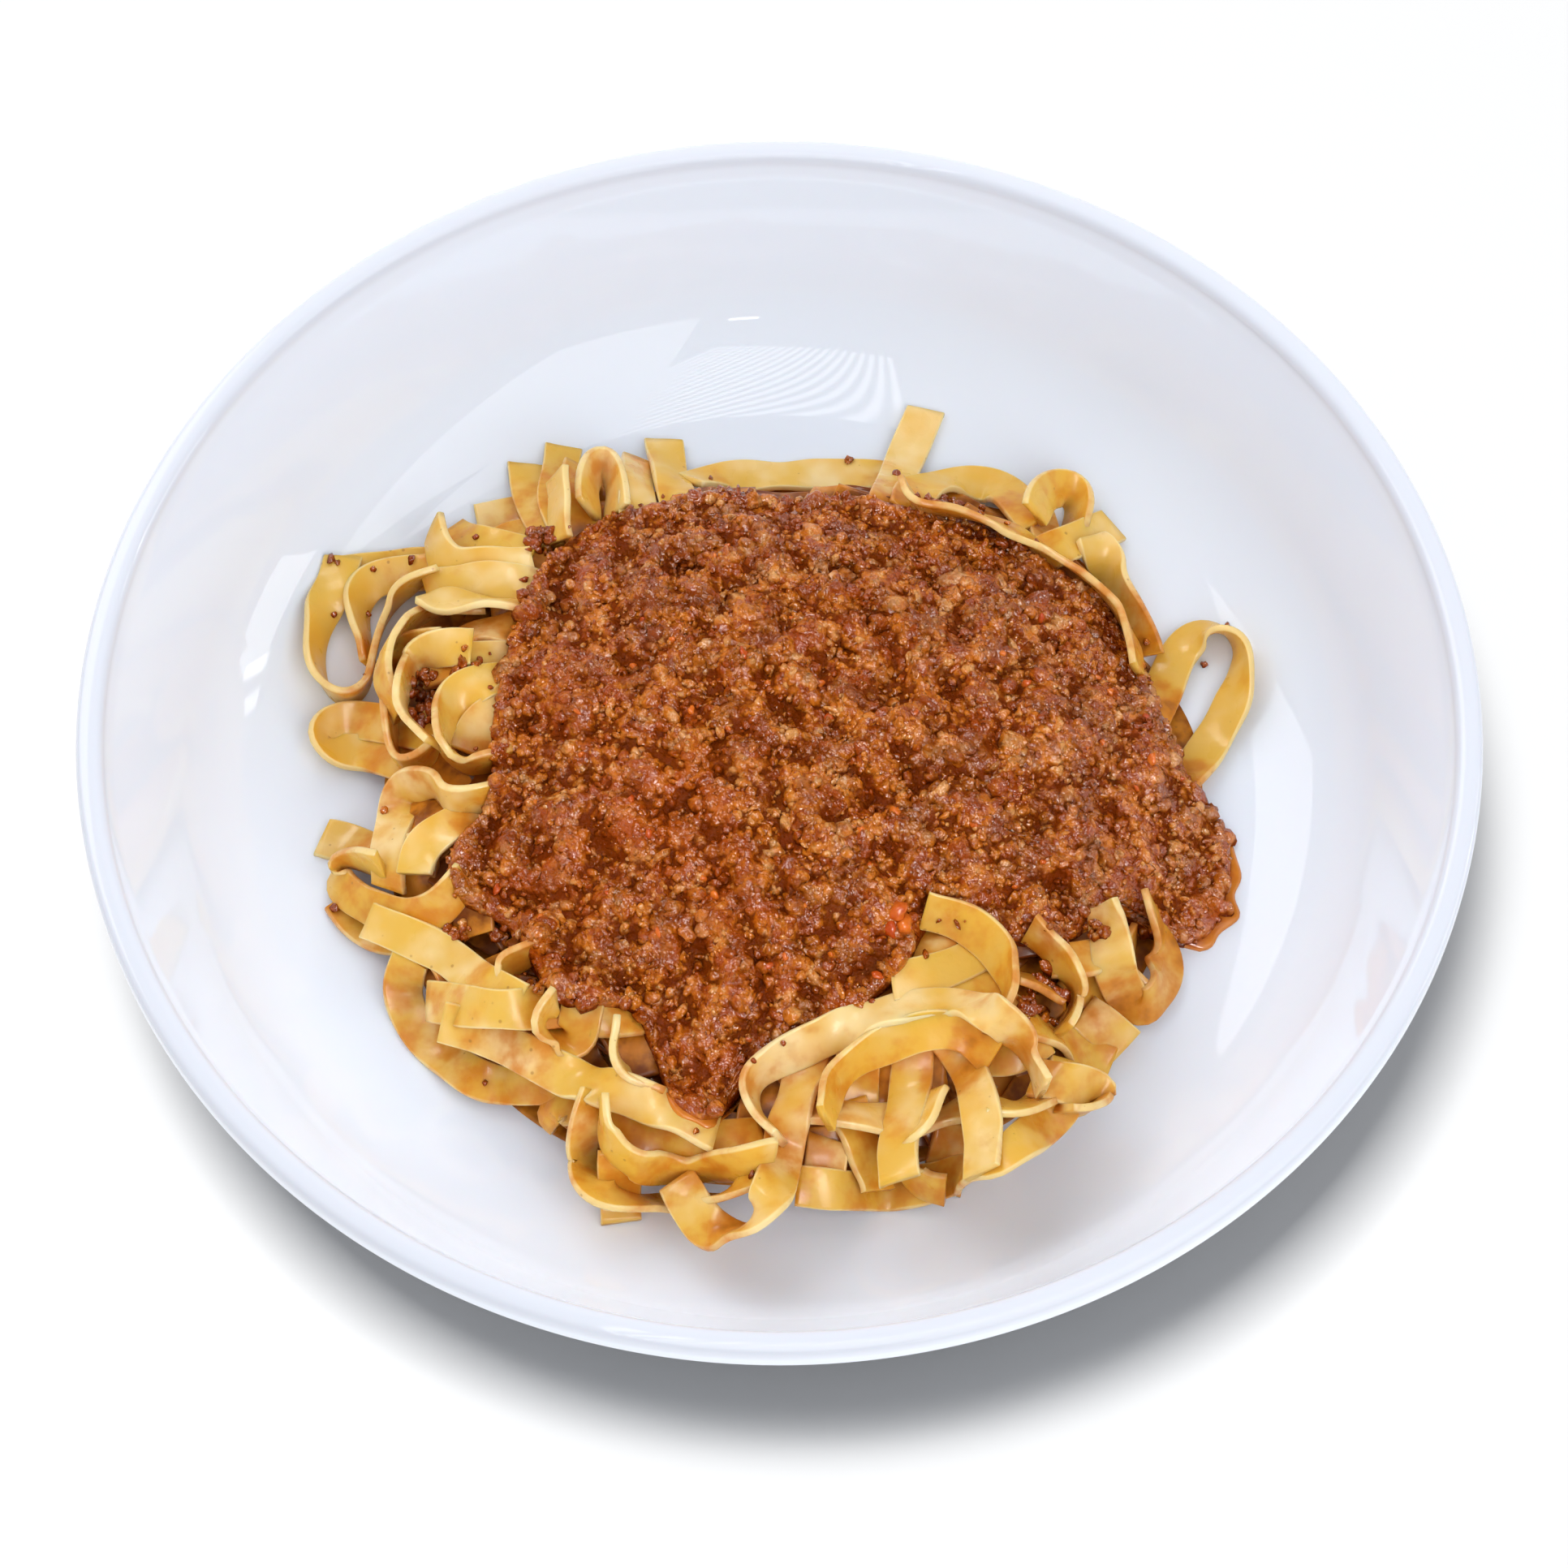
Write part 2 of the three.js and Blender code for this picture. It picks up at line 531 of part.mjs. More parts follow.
/** The sauce as a solid that reaches down through the heap, grown by a margin all round. */
function sauceBlock(growth) {
  const { middle, outline } = sauceOutline(growth);
  const lumps = minceLumps();
  const top = (x, y, share) => {
    const bed = Math.max(heapLevel(x, y), bowlLevel(Math.hypot(x, y)) + GAP);
    const body = SAUCE_DEPTH * (1 - share ** 3) ** 0.8;
    const relief = lumps.reduce((sum, lump) => {
      const far = Math.hypot(x - lump.x, y - lump.y) / lump.radius;
      return far < 1 ? Math.max(sum, lump.height * (1 - far ** 2)) : sum;
    }, 0);
    return bed + Math.max(SAUCE_EDGE_DEPTH, body) + relief * (1 - share ** 4) + growth;
  };
  return moundSolid({
    centre: middle, outline, sides: SAUCE_SIDES, rings: SAUCE_RINGS, top, bottom: 1,
  });
}

// ---- Assembly ----

const ceramic = new THREE.MeshStandardMaterial({ color: 0xf1f2f6, roughness: 0.12 });
const pasta = new THREE.MeshStandardMaterial({ color: 0xe2bd72, roughness: 0.4 });
const sauce = new THREE.MeshStandardMaterial({ color: 0x96482a, roughness: 0.35 });

const clearance = bowlClearance();

/** The inner heap, raised by a margin. */
function heapSolid(raise) {
  return moundSolid({
    centre: HEAP_CENTRE,
    outline: (angle) => {
      const reach = heapEdge(Math.atan2(Math.sin(angle), Math.cos(angle)));
      return [HEAP_CENTRE.x + reach * Math.cos(angle), HEAP_CENTRE.y + reach * Math.sin(angle)];
    },
    sides: HEAP_SIDES,
    rings: HEAP_RINGS,
    top: (x, y) => heapLevel(x, y) + raise,
    bottom: 1,
  });
}

const ground = new LaidGround(110, 1);
const stretches = [
  ...BACK_STRANDS, ...LEFT_STRANDS, ...FRONT_LEFT_STRANDS, ...RIGHT_STRANDS,
  ...FRONT_RIGHT_STRANDS,
].flatMap((route) => {
  const sections = layStrand(route, ground);
  pileUp(sections, ground);
  return strandStretches(sections);
});

// One union joins all strands. What reaches into the sauce or the bowl is cut away, and the
// rest is joined to the heap below.
const strands = wasm.Manifold.union(stretches).subtract(sauceBlock(GAP));
const fettuccineSolid = tidySolid(heapSolid(0).add(strands).subtract(clearance));
const sauceSolid = tidySolid(sauceBlock(0).subtract(heapSolid(GAP)).subtract(clearance));

const plate = new THREE.Group();
const addPiece = (name, geometry, material) => {
  const piece = new THREE.Mesh(geometry, material);
  piece.name = name;
  plate.add(piece);
};

addPiece("bowl", latheUpright(bowlProfile()), ceramic);
addPiece("fettuccine", geometryOf(fettuccineSolid), pasta);
addPiece("bolognese_sauce", geometryOf(sauceSolid), sauce);

export default plate;
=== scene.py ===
"""A white bowl of fettuccine with a meat sauce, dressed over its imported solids.

Sizes are in millimetres and angles in degrees unless a name says otherwise, with +Z up and the
origin in the middle of the bowl's foot. Meshes are written in metres, in the frame's own place.
"""

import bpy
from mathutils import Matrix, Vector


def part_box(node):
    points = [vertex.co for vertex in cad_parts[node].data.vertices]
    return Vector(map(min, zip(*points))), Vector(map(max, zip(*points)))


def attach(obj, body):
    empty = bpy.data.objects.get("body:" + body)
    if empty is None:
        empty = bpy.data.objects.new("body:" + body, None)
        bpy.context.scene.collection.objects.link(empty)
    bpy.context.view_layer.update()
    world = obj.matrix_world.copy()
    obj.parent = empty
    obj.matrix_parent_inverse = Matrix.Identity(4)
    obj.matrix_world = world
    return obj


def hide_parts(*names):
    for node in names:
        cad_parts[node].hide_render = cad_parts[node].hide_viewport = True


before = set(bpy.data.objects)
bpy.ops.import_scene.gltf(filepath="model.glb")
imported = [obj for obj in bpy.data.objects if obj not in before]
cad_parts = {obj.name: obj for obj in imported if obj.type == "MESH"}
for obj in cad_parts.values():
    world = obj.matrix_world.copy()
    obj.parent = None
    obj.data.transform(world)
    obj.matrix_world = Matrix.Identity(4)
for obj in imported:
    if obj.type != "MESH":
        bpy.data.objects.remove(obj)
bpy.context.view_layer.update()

import logging
import math
from collections.abc import Callable
from dataclasses import dataclass, field
from enum import Enum
from functools import partial

import bpy
import numpy as np
from mathutils import Quaternion, Vector

log = logging.getLogger("fettuccine")

Array = np.ndarray
Route = list[tuple[float, float, float]]
Colour = tuple[float, float, float]
Band = tuple[float, float]
Socket = bpy.types.NodeSocket
MM = 0.001
BODY = "root"


class Node(Enum):
    """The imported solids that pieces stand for."""

    BOWL = "bowl"
    PASTA = "fettuccine"
    SAUCE = "bolognese_sauce"


class Slot(Enum):
    """The record's material slots."""

    GLAZE = "white_glaze"
    PASTA = "cooked_pasta"
    SAUCE = "meat_sauce"


# ---- The view and the sizes that everything shares ----


@dataclass(frozen=True)
class Viewpoint:
    """The raised place in front of the bowl from which the food is drawn.

    Routes are drawn on the level plane at plan_level. A point slides along its line to the
    viewpoint until it lies on the food, so it keeps its place in the picture.
    """

    distance: float = 900.0
    elevation: float = 60.379
    aim: tuple[float, float, float] = (0.8, -15.68, 47.0)
    lens_to_sensor: float = 3.2536
    plan_level: float = 20.0

    @property
    def place(self) -> Array:
        """The viewpoint: aim minus the line of sight times the distance."""
        tilt = math.radians(self.elevation)
        sight = np.array([0.0, math.cos(tilt), -math.sin(tilt)])
        return np.array(self.aim) - sight * self.distance

    def on_sight_line(self, x: Array, y: Array, level: Array) -> tuple[Array, Array]:
        """Where drawn points lie once they are at a level.

        A point is eye + (drawn - eye) * (eye.z - level) / (eye.z - plan_level).

        Args:
            x: drawn x of each point.
            y: drawn y of each point.
            level: the level that each point takes.

        Returns:
            The x and y of each point at its level.
        """
        eye = self.place
        share = (eye[2] - level) / (eye[2] - self.plan_level)
        return eye[0] + (x - eye[0]) * share, eye[1] + (y - eye[1]) * share


@dataclass(frozen=True)
class BowlSizes:
    """The bowl's driving sizes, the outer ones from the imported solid."""

    radius: float
    height: float
    floor_level: float = 8.5
    floor_radius: float = 82.0
    turn_radius: float = 30.0
    wall_slope: float = 62.0
    wall_thickness: float = 4.8
    lip_width: float = 5.0
    lip_drop: float = 2.0
    band: float = 5.0
    band_notch: Band = (2.7, 2.5)
    lip_bevel: float = 0.5
    lip_gap: float = 0.05
    foot_inner: float = 67.0
    foot_outer: float = 74.0
    foot_height: float = 3.2
    foot_slopes: Band = (1.4, 2.0)

    @classmethod
    def from_frame(cls) -> "BowlSizes":
        """Reads the bowl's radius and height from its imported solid."""
        low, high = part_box(Node.BOWL.value)
        return cls(radius=(high.x - low.x) / 2 / MM, height=(high.z - low.z) / MM)

    def level(self, reach: Array) -> Array:
        """The level of the inner face at a distance from the axis.

        It is flat out to floor_radius, then an arc of turn_radius, then a straight wall.
        """
        slope = math.radians(self.wall_slope)
        turn_end = self.floor_radius + self.turn_radius * math.sin(slope)
        run = np.clip(reach - self.floor_radius, 0.0, turn_end - self.floor_radius)
        rise = self.turn_radius - np.sqrt(self.turn_radius**2 - run**2)
        wall = np.maximum(reach - turn_end, 0.0) * math.tan(slope)
        return self.floor_level + rise + wall


@dataclass(frozen=True)
class HeapSizes:
    """The inner heap of pasta that the visible strands lie on."""

    centre: tuple[float, float] = (0.0, -2.0)
    radius: float = 75.0
    height: float = 23.0
    inner_drop: float = 5.5
    uneven: Band = (0.015, 0.01)
    lobe: tuple[float, float, float] = (0.05, 0.2, 0.3)
    fall: Band = (2.6, 0.72)

    def edge(self, angle: Array) -> Array:
        """The heap's reach at an angle in radians, with a lobe under the spilt sauce.

        The reach swings three and five times round the heap by the shares in uneven. The lobe
        adds a share of the radius, at an angle, with a width in radians.
        """
        uneven = self.uneven[0] * np.sin(3 * angle + 1) + self.uneven[1] * np.sin(5 * angle)
        share, middle, width = self.lobe
        lobe = share * np.exp(-(((angle - middle) / width) ** 2))
        return self.radius * (1 + uneven + lobe)

    def level(self, x: Array, y: Array, floor_level: float) -> Array:
        """The heap's level: a dome of height * (1 - reach^a)^b over the floor, with a, b fall."""
        dx = x - self.centre[0]
        dy = y - self.centre[1]
        reach = np.minimum(1.0, np.hypot(dx, dy) / self.edge(np.arctan2(dy, dx)))
        return floor_level + self.height * (1 - reach ** self.fall[0]) ** self.fall[1]


# ---- Number helpers ----


def unit(vectors: Array) -> Array:
    """Vectors of length one along the given ones."""
    return vectors / np.maximum(np.linalg.norm(vectors, axis=-1, keepdims=True), 1e-9)


def ease(value: Array, low: float, high: float) -> Array:
    """A smooth step from 0 at low to 1 at high: t * t * (3 - 2 * t)."""
    t = np.clip((value - low) / (high - low), 0.0, 1.0)
    return t * t * (3 - 2 * t)


def moving_mean(values: Array, spread: float) -> Array:
    """A bell-weighted running mean along a row, with spread in steps of the row."""
    reach = max(1, int(round(3 * spread)))
    offsets = np.arange(-reach, reach + 1)
    weights = np.exp(-0.5 * (offsets / max(spread, 0.3)) ** 2)
    padded = np.pad(values, reach, mode="edge")
    return np.convolve(padded, weights / weights.sum(), mode="valid")


def moving_peak(values: Array, reach: int) -> Array:
    """The highest value within reach steps on either side."""
    padded = np.pad(values, reach, mode="edge")
    windows = np.lib.stride_tricks.sliding_window_view(padded, 2 * reach + 1)
    return windows.max(axis=1)


def waves(points: Array, size: float, rng: np.random.Generator, count: int = 12) -> Array:
    """Uneven waves of about the given size, from -1 to 1 or so.

    It is the sum of count cosines of (k . point + phase) with random directions, scaled by
    sqrt(2 / count).
    """
    dims = points.shape[-1]
    spin = unit(rng.normal(size=(count, dims)))
    rate = 2 * math.pi / (size * rng.uniform(0.7, 1.5, size=(count, 1)))
    phase = rng.uniform(0, 2 * math.pi, size=count)
    return np.cos(points @ (spin * rate).T + phase).sum(-1) * math.sqrt(2 / count)


# ---- Meshes in the making ----


@dataclass
class Surface:
    """Points, faces and marks (one number a point) of a mesh in the making."""

    points: Array
    faces: list[Array]
    marks: dict[str, Array] = field(default_factory=dict)

    def volume(self) -> float:
        """The signed volume, which is positive when the faces point outwards.

        Each face is split in triangles a, b, c from its first corner: the sum of a . (b x c) / 6.
        """
        total = 0.0
        for group in self.faces:
            corners = self.points[group]
            first = corners[:, 0]
            for k in range(1, group.shape[1] - 1):
                cross = np.cross(corners[:, k], corners[:, k + 1])
                total += float(np.einsum("ij,ij->", first, cross)) / 6
        return total

    def triangles(self) -> int:
        """How many triangles the faces make."""
        return sum(len(group) * (group.shape[1] - 2) for group in self.faces)


def joined(surfaces: list[Surface]) -> Surface:
    """One surface that holds all the given ones, which have the same marks."""
    starts = np.cumsum([0] + [len(s.points) for s in surfaces[:-1]])
    sizes = sorted({g.shape[1] for s in surfaces for g in s.faces})
    faces = [
        np.vstack([
            group + start
            for s, start in zip(surfaces, starts)
            for group in s.faces
            if group.shape[1] == size
        ])
        for size in sizes
    ]
    marks = {
        name: np.concatenate([s.marks[name] for s in surfaces]) for name in surfaces[0].marks
    }
    return Surface(np.vstack([s.points for s in surfaces]), faces, marks)


def grid_faces(rows: int, columns: int, start: int = 0) -> Array:
    """Four-cornered faces of a grid whose columns close on themselves.

    Point (row, column) has the number start + row * columns + column.
    """
    row, column = np.meshgrid(np.arange(rows - 1), np.arange(columns), indexing="ij")
    after = (column + 1) % columns
    corners = [row * columns + column, (row + 1) * columns + column,
               (row + 1) * columns + after, row * columns + after]
    return np.stack(corners, axis=-1).reshape(-1, 4) + start


def closing_fans(rows: int, columns: int) -> Array:
    """Triangles that close a grid's first and last rows on the two points that follow it."""
    column = np.arange(columns)
    after = (column + 1) % columns
    last = (rows - 1) * columns
    hub = np.full(columns, rows * columns)
    return np.vstack([
        np.stack([hub, column, after], axis=-1),
        np.stack([hub + 1, last + after, last + column], axis=-1),
    ])


def make_piece(
    name: str, surface: Surface, node: Node, finish: bpy.types.Material,
) -> bpy.types.Object:
    """Writes a surface into a mesh object that rides with the bowl and stands for a solid.

    Args:
        name: the piece's name.
        surface: its points in millimetres, faces and marks.
        node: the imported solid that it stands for.
        finish: its material.

    Returns:
        The new object, at the origin.
    """
    mesh = bpy.data.meshes.new(name)
    mesh.vertices.add(len(surface.points))
    mesh.vertices.foreach_set("co", (surface.points * MM).astype(np.float32).ravel())
    loops = np.concatenate([group.ravel() for group in surface.faces]).astype(np.int32)
    sizes = np.concatenate([np.full(len(g), g.shape[1]) for g in surface.faces])
    mesh.loops.add(len(loops))
    mesh.loops.foreach_set("vertex_index", loops)
    mesh.polygons.add(len(sizes))
    starts = np.concatenate([[0], np.cumsum(sizes)[:-1]]).astype(np.int32)
    mesh.polygons.foreach_set("loop_start", starts)
    mesh.polygons.foreach_set("use_smooth", np.ones(len(sizes), dtype=bool))
    mesh.update(calc_edges=True)
    mesh.validate()
    for mark, values in surface.marks.items():
        layer = mesh.attributes.new(mark, "FLOAT", "POINT")
        layer.data.foreach_set("value", values.astype(np.float32))
    mesh.materials.append(finish)
    piece = bpy.data.objects.new(name, mesh)
    bpy.context.scene.collection.objects.link(piece)
    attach(piece, BODY)
    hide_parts(node.value)
    log.info("%s: %d triangles, %.1f cm3", name, surface.triangles(), surface.volume() / 1000)
    return piece


# ---- Finishes ----


class NodeSheet:
    """A node tree, with short calls for the nodes that finishes and lights share."""

    def __init__(self, tree: bpy.types.NodeTree) -> None:
        """Keeps the tree that the nodes go into."""
        self.tree = tree

    def add(self, kind: str, **settings: object) -> bpy.types.Node:
        """Adds a shader node and sets its own properties."""
        node = self.tree.nodes.new(f"ShaderNode{kind}")
        for key, value in settings.items():
            setattr(node, key, value)
        return node

    def feed(self, socket: Socket, value: object) -> None:
        """Links a socket into another one, or sets a number or a colour on it."""
        if isinstance(value, bpy.types.NodeSocket):
            self.tree.links.new(value, socket)
        elif isinstance(value, tuple) and len(value) == 3 and socket.type == "RGBA":
            socket.default_value = (*value, 1.0)
        else:
            socket.default_value = value

    def place(self) -> Socket:
        """The point's place on the object, in metres."""
        return self.add("TexCoord").outputs["Object"]

    def axis(self, vector: Socket, number: int) -> Socket:
        """One of the three numbers of a vector."""
        split = self.add("SeparateXYZ")
        self.feed(split.inputs[0], vector)
        return split.outputs[number]

    def mark(self, name: str) -> Socket:
        """A mark of the mesh, as a number."""
        return self.add("Attribute", attribute_name=name).outputs["Fac"]

    def noise(self, size: float, detail: float = 2.0, rough: float = 0.5) -> Socket:
        """Soft noise of about the given size in millimetres."""
        node = self.add("TexNoise")
        self.feed(node.inputs["Vector"], self.place())
        for key, number in (("Scale", 1 / (size * MM)), ("Detail", detail), ("Roughness", rough)):
            node.inputs[key].default_value = number
        return node.outputs["Fac"]

    def cells(self, size: float) -> tuple[Socket, Socket]:
        """How far the nearest of many points is, size millimetres apart, and that point's tone."""
        node = self.add("TexVoronoi")
        self.feed(node.inputs["Vector"], self.place())
        node.inputs["Scale"].default_value = 1 / (size * MM)
        return node.outputs["Distance"], node.outputs["Color"]

    def span(
        self, value: object, band: Band, to: Band = (0.0, 1.0), kind: str = "SMOOTHSTEP",
    ) -> Socket:
        """A value moved from one band to another and clamped, in the way that kind names."""
        node = self.add("MapRange", interpolation_type=kind)
        self.feed(node.inputs["Value"], value)
        for key, number in zip(("From Min", "From Max", "To Min", "To Max"), (*band, *to)):
            node.inputs[key].default_value = number
        return node.outputs["Result"]

    def apply(self, operation: str, first: object, second: object = 0.0) -> Socket:
        """What a plain operation makes of one or two numbers."""
        node = self.add("Math", operation=operation)
        self.feed(node.inputs[0], first)
        self.feed(node.inputs[1], second)
        return node.outputs[0]

    def plus(self, first: object, second: object, share: float = 1.0) -> Socket:
        """The first number and a share of the second."""
        if share != 1.0:
            second = self.apply("MULTIPLY", second, share)
        return self.apply("ADD", first, second)

    def stirred(
        self, value: object, size: float, band: Band, to: Band, detail: float = 2.0,
    ) -> Socket:
        """A number moved up and down by soft noise, whose band is spread over another one."""
        return self.plus(value, self.span(self.noise(size, detail), band, to))

    def blend(self, share: object, first: object, second: object) -> Socket:
        """Two colours mixed by a share."""
        node = self.add("Mix", data_type="RGBA")
        for number, value in ((0, share), (6, first), (7, second)):
            self.feed(node.inputs[number], value)
        return node.outputs[2]

    def tint(
        self, colour: object, other: object, value: object, band: Band, most: float = 1.0,
    ) -> Socket:
        """A colour that turns into another, up to the share most, as a value climbs a band."""
        return self.blend(self.span(value, band, (0.0, most)), colour, other)

    def bump(
        self, height: object, depth: float, strength: float = 1.0, under: object = None,
    ) -> Socket:
        """A normal bent by a height, where a height of 1 is depth millimetres."""
        node = self.add("Bump")
        node.inputs["Strength"].default_value = strength
        node.inputs["Distance"].default_value = depth * MM
        self.feed(node.inputs["Height"], height)
        if under is not None:
            self.feed(node.inputs["Normal"], under)
        return node.outputs["Normal"]


class Paint(NodeSheet):
    """The node tree of a new material."""

    def __init__(self, name: str) -> None:
        """Starts an empty material."""
        self.material = bpy.data.materials.new(name)
        self.material.use_nodes = True
        super().__init__(self.material.node_tree)
        self.tree.nodes.clear()

    def finish(self, **inputs: object) -> bpy.types.Material:
        """Adds the surface shader with the given inputs and gives the material back."""
        shader = self.add("BsdfPrincipled")
        for key, value in inputs.items():
            self.feed(shader.inputs[key.replace("_", " ")], value)
        self.tree.links.new(shader.outputs[0], self.add("OutputMaterial").inputs["Surface"])
        return self.material


@dataclass(frozen=True)
class GlazeFinish:
    """White stoneware glaze, a little blue, with painted shade greying the top of the lip, and a
    bare ring under the foot.
    """

    glaze: Colour = (0.815, 0.862, 0.955)
    thin_glaze: Colour = (0.81, 0.85, 0.935)
    # The lip colour is painted shade: the glaze there is darkened to tone down how brightly it is
    # lit.
    lip: Colour = (0.68, 0.70, 0.77)
    bare_clay: Colour = (0.62, 0.58, 0.52)
    lip_shade_line: Band = (45.0, 47.2)
    lip_shade_share: float = 0.9
    foot_line: Band = (0.2, 0.65)
    foot_uneven: float = 0.4
    roughness: Band = (0.025, 0.75)
    cloud_size: float = 55.0

    def material(self) -> bpy.types.Material:
        """Glaze with a faint cloud of tone, painted shade on the lip and a very slow waviness in
        its gloss.
        """
        sheet = Paint("bowl_glaze")
        tone = sheet.tint(self.glaze, self.thin_glaze, sheet.noise(self.cloud_size), (0.35, 0.7))
        height = sheet.axis(sheet.place(), 2)
        # Painted shade: the top of the lip, above its line, turns to the darker lip colour.
        lip_shade_line = (self.lip_shade_line[0] * MM, self.lip_shade_line[1] * MM)
        tone = sheet.tint(tone, self.lip, height, lip_shade_line, self.lip_shade_share)
        line = sheet.plus(height, sheet.noise(3.0), self.foot_uneven * MM)
        foot_line = (self.foot_line[0] * MM, self.foot_line[1] * MM)
        bare = sheet.span(line, foot_line, (1.0, 0.0))
        wavy = sheet.bump(sheet.noise(34.0, 1.0), 0.10, 0.3)
        return sheet.finish(
            Base_Color=sheet.blend(bare, tone, self.bare_clay),
            Roughness=sheet.span(bare, (0.0, 1.0), self.roughness),
            Normal=sheet.bump(sheet.noise(2.2, 1.0), 0.0015, 0.5, wavy), IOR=1.5,
            Subsurface_Weight=0.05, Subsurface_Scale=0.002,
        )


@dataclass(frozen=True)
class PastaFinish:
    """Cooked egg pasta: painted highlights along the cut edges, amber patches, orange stains of
    sauce and painted shade under other strands.
    """

    pale: Colour = (0.87, 0.64, 0.30)
    mid: Colour = (0.75, 0.45, 0.075)
    amber: Colour = (0.77, 0.405, 0.03)
    stain_and_shade: Colour = (0.62, 0.19, 0.008)
    # Painted shade under other strands and in the gaps.
    deep: Colour = (0.17, 0.035, 0.003)
    # Painted highlight: the cut edges are paler, as where they catch the light.
    edge_highlight: Colour = (0.88, 0.72, 0.38)
    speck: Colour = (0.30, 0.11, 0.02)
    patch_size: float = 11.0
    oil_size: float = 9.0
    stain_size: float = 4.5
    speck_spacing: float = 3.6

    def material(self) -> bpy.types.Material:
        """Mixes the tones by patches, by each strand's own tone and by its marks, which give
        painted highlights on the cut edges and painted shade under other strands and in the gaps.
        """
        sheet = Paint("cooked_pasta")
        strand, stain_shade_mark = sheet.mark("tone"), sheet.mark("stain_and_shade")
        shade = sheet.plus(sheet.noise(self.patch_size, 2.5, 0.55), strand, 0.26)
        colour = sheet.tint(self.pale, self.mid, shade, (0.36, 0.72))
        oily = sheet.plus(sheet.noise(self.oil_size, 1.5), stain_shade_mark, 0.22)
        oily = sheet.plus(oily, strand, 0.07)
        colour = sheet.tint(colour, self.amber, oily, (0.50, 0.78), 0.6)
        # Painted highlight along both cut edges of each strand.
        from_middle = sheet.apply("ABSOLUTE", sheet.mark("across"))
        colour = sheet.tint(colour, self.edge_highlight, from_middle, (0.88, 0.98), 0.55)
        # Sauce tint, then painted shade: the deep colour darkens strands under others and the
        # inner heap in the gaps.
        soaked = sheet.stirred(stain_shade_mark, self.stain_size, (0.3, 0.75), (-0.25, 0.2), 3.0)
        colour = sheet.tint(colour, self.stain_and_shade, soaked, (0.24, 0.85), 0.85)
        colour = sheet.tint(colour, self.deep, soaked, (0.72, 1.25), 0.95)
        dots = sheet.stirred(sheet.cells(self.speck_spacing)[0], 12.0, (0.3, 0.7), (0.1, 0.0))
        colour = sheet.blend(sheet.span(dots, (0.06, 0.13), (0.5, 0.0)), colour, self.speck)
        soft = sheet.bump(sheet.noise(3.4, 1.5), 0.3, 0.5)
        return sheet.finish(
            Base_Color=colour, Roughness=sheet.span(sheet.noise(6.0), (0.35, 0.7), (0.26, 0.42)),
            Normal=sheet.bump(sheet.noise(0.8), 0.05, 0.5, soft), IOR=1.42,
            Specular_IOR_Level=0.25, Subsurface_Weight=0.25,
            Subsurface_Radius=(1.0, 0.55, 0.16), Subsurface_Scale=0.002,
            Coat_Weight=0.12, Coat_Roughness=0.15,
        )


